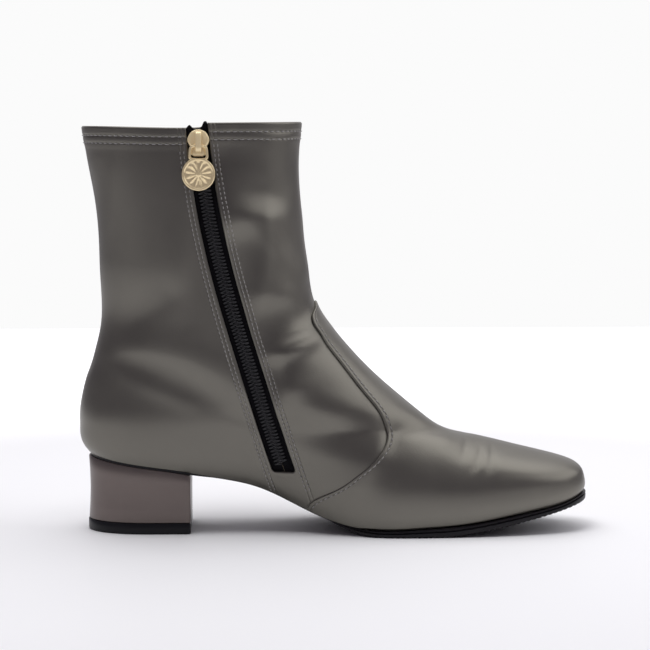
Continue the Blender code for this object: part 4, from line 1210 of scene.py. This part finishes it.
# Heel: a block covered in satin metallic leather, whose edge is turned in at the breast. It narrows to the
# ground, a little hollow on the way, and is fixed under the sole's seat.
HEEL_BACK, HEEL_TAIL, HEEL_CORNER, HEEL_WAISTING = 0.0040, 0.036, 0.0010, 0.0007
HEEL_TOP_WIDTH, HEEL_FOOT_WIDTH = 0.0262, 0.0240
LIFT_THICKNESS = 0.0055


def heel_loop(back, half_width, less, count=144):
    """A U in plan: rounded at the back, straight sides and a flat breast with quarter-circle corners."""
    corner = np.linspace(0, math.pi / 2, 9)[1:]
    step = np.linspace(0.02, math.pi / 2, count // 2 - len(corner))
    breast, half_width, back = HEEL_BREAST - less, half_width - less, back + less
    distance = (breast - HEEL_CORNER - back) * (1 - np.cos(step))
    along = np.append(back + distance, breast - HEEL_CORNER + HEEL_CORNER * np.sin(corner))
    across = half_width * rounded_end(distance, HEEL_TAIL)
    across = np.append(across, half_width - HEEL_CORNER + HEEL_CORNER * np.cos(corner))
    points = np.stack([along - MIDDLE, -across, np.zeros(len(along))], axis=-1)
    return np.concatenate([points, points[::-1] * np.array([1, -1, 1])])


def heel_finish():
    """Covered heel: a satin brown grey with a cloudy tone and gloss, and soft cells as bump."""
    material, shader = new_finish("heel cover", (0.171, 0.141, 0.129), 0.36, 0.6)
    place = object_place(material)
    cloud = add(material, "TexNoise", {"Vector": place, "Scale": 70.0, "Detail": 5.0})
    cells = add(material, "TexVoronoi", {"Vector": place, "Scale": 1700.0}, feature="SMOOTH_F1")
    vary_colour(material, shader, cloud.outputs["Fac"], (0.152, 0.125, 0.115), (0.190, 0.158, 0.144))
    vary_roughness(material, shader, cloud.outputs["Fac"], 0.30, 0.42)
    bump_from(material, shader, cells.outputs["Distance"], 0.25, 0.00005)
    return material


def make_heel():
    """Sections from the seat down, each a share of the height, with the top edge following the sole."""
    foot = LIFT_THICKNESS + GAP
    loops = []
    for up, less in ((1, 0.0004), (0.985, 0), (0.75, 0), (0.5, 0), (0.25, 0), (0.012, 0), (0, 0.0003)):
        waisting = HEEL_WAISTING * math.sin(math.pi * up)
        width = HEEL_FOOT_WIDTH + (HEEL_TOP_WIDTH - HEEL_FOOT_WIDTH) * up**1.5 - waisting
        loop = heel_loop(HEEL_BACK + waisting, width, less)
        top = sole_top(loop[:, 0] + MIDDLE) - SEAT_THICKNESS - GAP
        loop[:, 2] = foot + up * (top - foot)
        loops.append(loop)
    points, groups = loft(loops)
    make_piece("heel_leather", points, groups, heel_finish(), "heel_cover", ["heel_block"], sharp=60)


make_heel()

# Top lift: a block of hard black rubber nailed under the heel, a hair larger than the heel's foot. It has a
# small bevel at the ground.
LIFT_BEVEL = 0.0004


def make_top_lift():
    """Loops of the heel's own outline, each at a share of the lift's height and drawn in at both edges."""
    loops = []
    for rise, less in ((1, 0.0003), (0.94, 0), (0.5, 0), (0.12, 0), (0.04, 0.0002), (0, LIFT_BEVEL)):
        loop = heel_loop(HEEL_BACK - GAP, HEEL_FOOT_WIDTH + GAP, less)
        loop[:, 2] = rise * LIFT_THICKNESS
        loops.append(loop)
    points, groups = loft(loops)
    finish = rubber_finish("black lift", (0.006, 0.006, 0.008), 0.38)
    make_piece("top_lift_rubber", points, groups, finish, "rubber", ["top_lift"], sharp=60)


make_top_lift()

# Studio: a pale paper floor, a wide soft light overhead, a lit backdrop, a light from the right, and a small
# one above the front left that is kept out of the gloss. The camera stands as the photograph's did.
IMAGE_SIZE = 650
METRES_PER_PIXEL = 0.000516
CAMERA_DISTANCE, CAMERA_HEIGHT, CAMERA_TURN = 1.2, 0.206, math.radians(-2.1)
AIM_ALONG, AIM_HEIGHT = 0.1259, 0.1046

# Columns name, place, aim, size, power and whether it shows in the gloss
LIGHTS = (
    ("overhead", (0.0, 0.42, 1.25), (0.0, 0.42, 0.0), (1.6, 1.3), 11.5, True),
    ("backdrop", (0.0, 1.60, 0.75), (0.0, 0.0, 0.30), (2.6, 1.3), 6.0, True),
    ("right_side", (0.99, -0.02, 0.75), (0.0, 0.0, 0.08), (1.4, 0.80), 4.6, True),
    ("floor_key", (-0.25, -0.30, 1.40), (0.0, 0.0, 0.0), (0.60, 0.60), 8.0, False),
)
SKY_COLOUR, SKY_STRENGTH, BACKGROUND_STRENGTH = (1.0, 0.92, 1.09), 0.17, 0.965
FLOOR_FRONT, FLOOR_BACK, FLOOR_SIDE = 0.60, 1.20, 0.90
FLOOR_EDGE_GLOW, FLOOR_GLOW_START, FLOOR_GLOW_END = 0.40, 0.35, 0.60


def floor_finish():
    """Pale paper that glows towards its edges, by distance from its middle, to merge with the background."""
    white = {"Emission Color": (1.0, 1.0, 1.0, 1.0)}
    material, shader = new_finish("pale floor", (0.86, 0.86, 0.875), 0.6, 0.0, white)
    place = object_place(material)
    reach = add(material, "VectorMath", {0: place}, operation="LENGTH").outputs["Value"]
    span = {"Value": reach, "From Min": FLOOR_GLOW_START, "From Max": FLOOR_GLOW_END, "To Min": 0.0}
    span["To Max"] = FLOOR_EDGE_GLOW
    glow = add(material, "MapRange", span, interpolation_type="SMOOTHSTEP")
    plug(material, glow.outputs["Result"], shader.inputs["Emission Strength"])
    return material


def make_sky(scene):
    """A dim even sky for the light, which the camera itself sees as a white background."""
    world = bpy.data.worlds.new("studio")
    scene.world = world
    world.use_nodes = True
    nodes, links = world.node_tree.nodes, world.node_tree.links
    nodes["Background"].inputs["Color"].default_value = (*SKY_COLOUR, 1.0)
    nodes["Background"].inputs["Strength"].default_value = SKY_STRENGTH
    white = nodes.new("ShaderNodeBackground")
    white.inputs["Color"].default_value = (1.0, 1.0, 1.0, 1.0)
    white.inputs["Strength"].default_value = BACKGROUND_STRENGTH
    mix, path = nodes.new("ShaderNodeMixShader"), nodes.new("ShaderNodeLightPath")
    links.new(path.outputs["Is Camera Ray"], mix.inputs["Fac"])
    links.new(nodes["Background"].outputs["Background"], mix.inputs[1])
    links.new(white.outputs["Background"], mix.inputs[2])
    links.new(mix.outputs["Shader"], nodes["World Output"].inputs["Surface"])


def make_studio():
    """The floor, the lights turned to their aims, the sky, and a camera whose lens gives the photograph's
    scale at the boot."""
    scene = bpy.context.scene
    mesh = bpy.data.meshes.new("floor")
    near, far, side = -FLOOR_FRONT, FLOOR_BACK, FLOOR_SIDE
    corners = [(-side, near, 0), (side, near, 0), (side, far, 0), (-side, far, 0)]
    mesh.from_pydata(corners, [], [(0, 1, 2, 3)])
    mesh.materials.append(floor_finish())
    floor = bpy.data.objects.new("floor", mesh)
    scene.collection.objects.link(floor)
    for name, place, aim, (wide, tall), power, in_gloss in LIGHTS:
        light = bpy.data.lights.new(name, "AREA")
        light.shape, light.size, light.size_y, light.energy = "RECTANGLE", wide, tall, power
        lamp = bpy.data.objects.new(name, light)
        lamp.location = place
        lamp.rotation_euler = (Vector(aim) - lamp.location).to_track_quat("-Z", "Y").to_euler()
        lamp.visible_camera = False
        lamp.visible_glossy = in_gloss
        scene.collection.objects.link(lamp)
    make_sky(scene)
    scene.view_settings.view_transform = "Standard"
    camera = bpy.data.cameras.new("camera")
    fall = math.atan2(CAMERA_HEIGHT - AIM_HEIGHT, CAMERA_DISTANCE)
    reach = math.hypot(CAMERA_DISTANCE, CAMERA_HEIGHT - AIM_HEIGHT)
    camera.sensor_width = 36
    camera.lens = camera.sensor_width * reach / METRES_PER_PIXEL / IMAGE_SIZE
    stand = bpy.data.objects.new("camera", camera)
    aside, away = math.sin(CAMERA_TURN) * CAMERA_DISTANCE, math.cos(CAMERA_TURN) * CAMERA_DISTANCE
    stand.location = (AIM_ALONG - MIDDLE + aside, -away, CAMERA_HEIGHT)
    stand.rotation_euler = (math.pi / 2 - fall, 0, CAMERA_TURN)
    scene.collection.objects.link(stand)
    scene.camera = stand


make_studio()
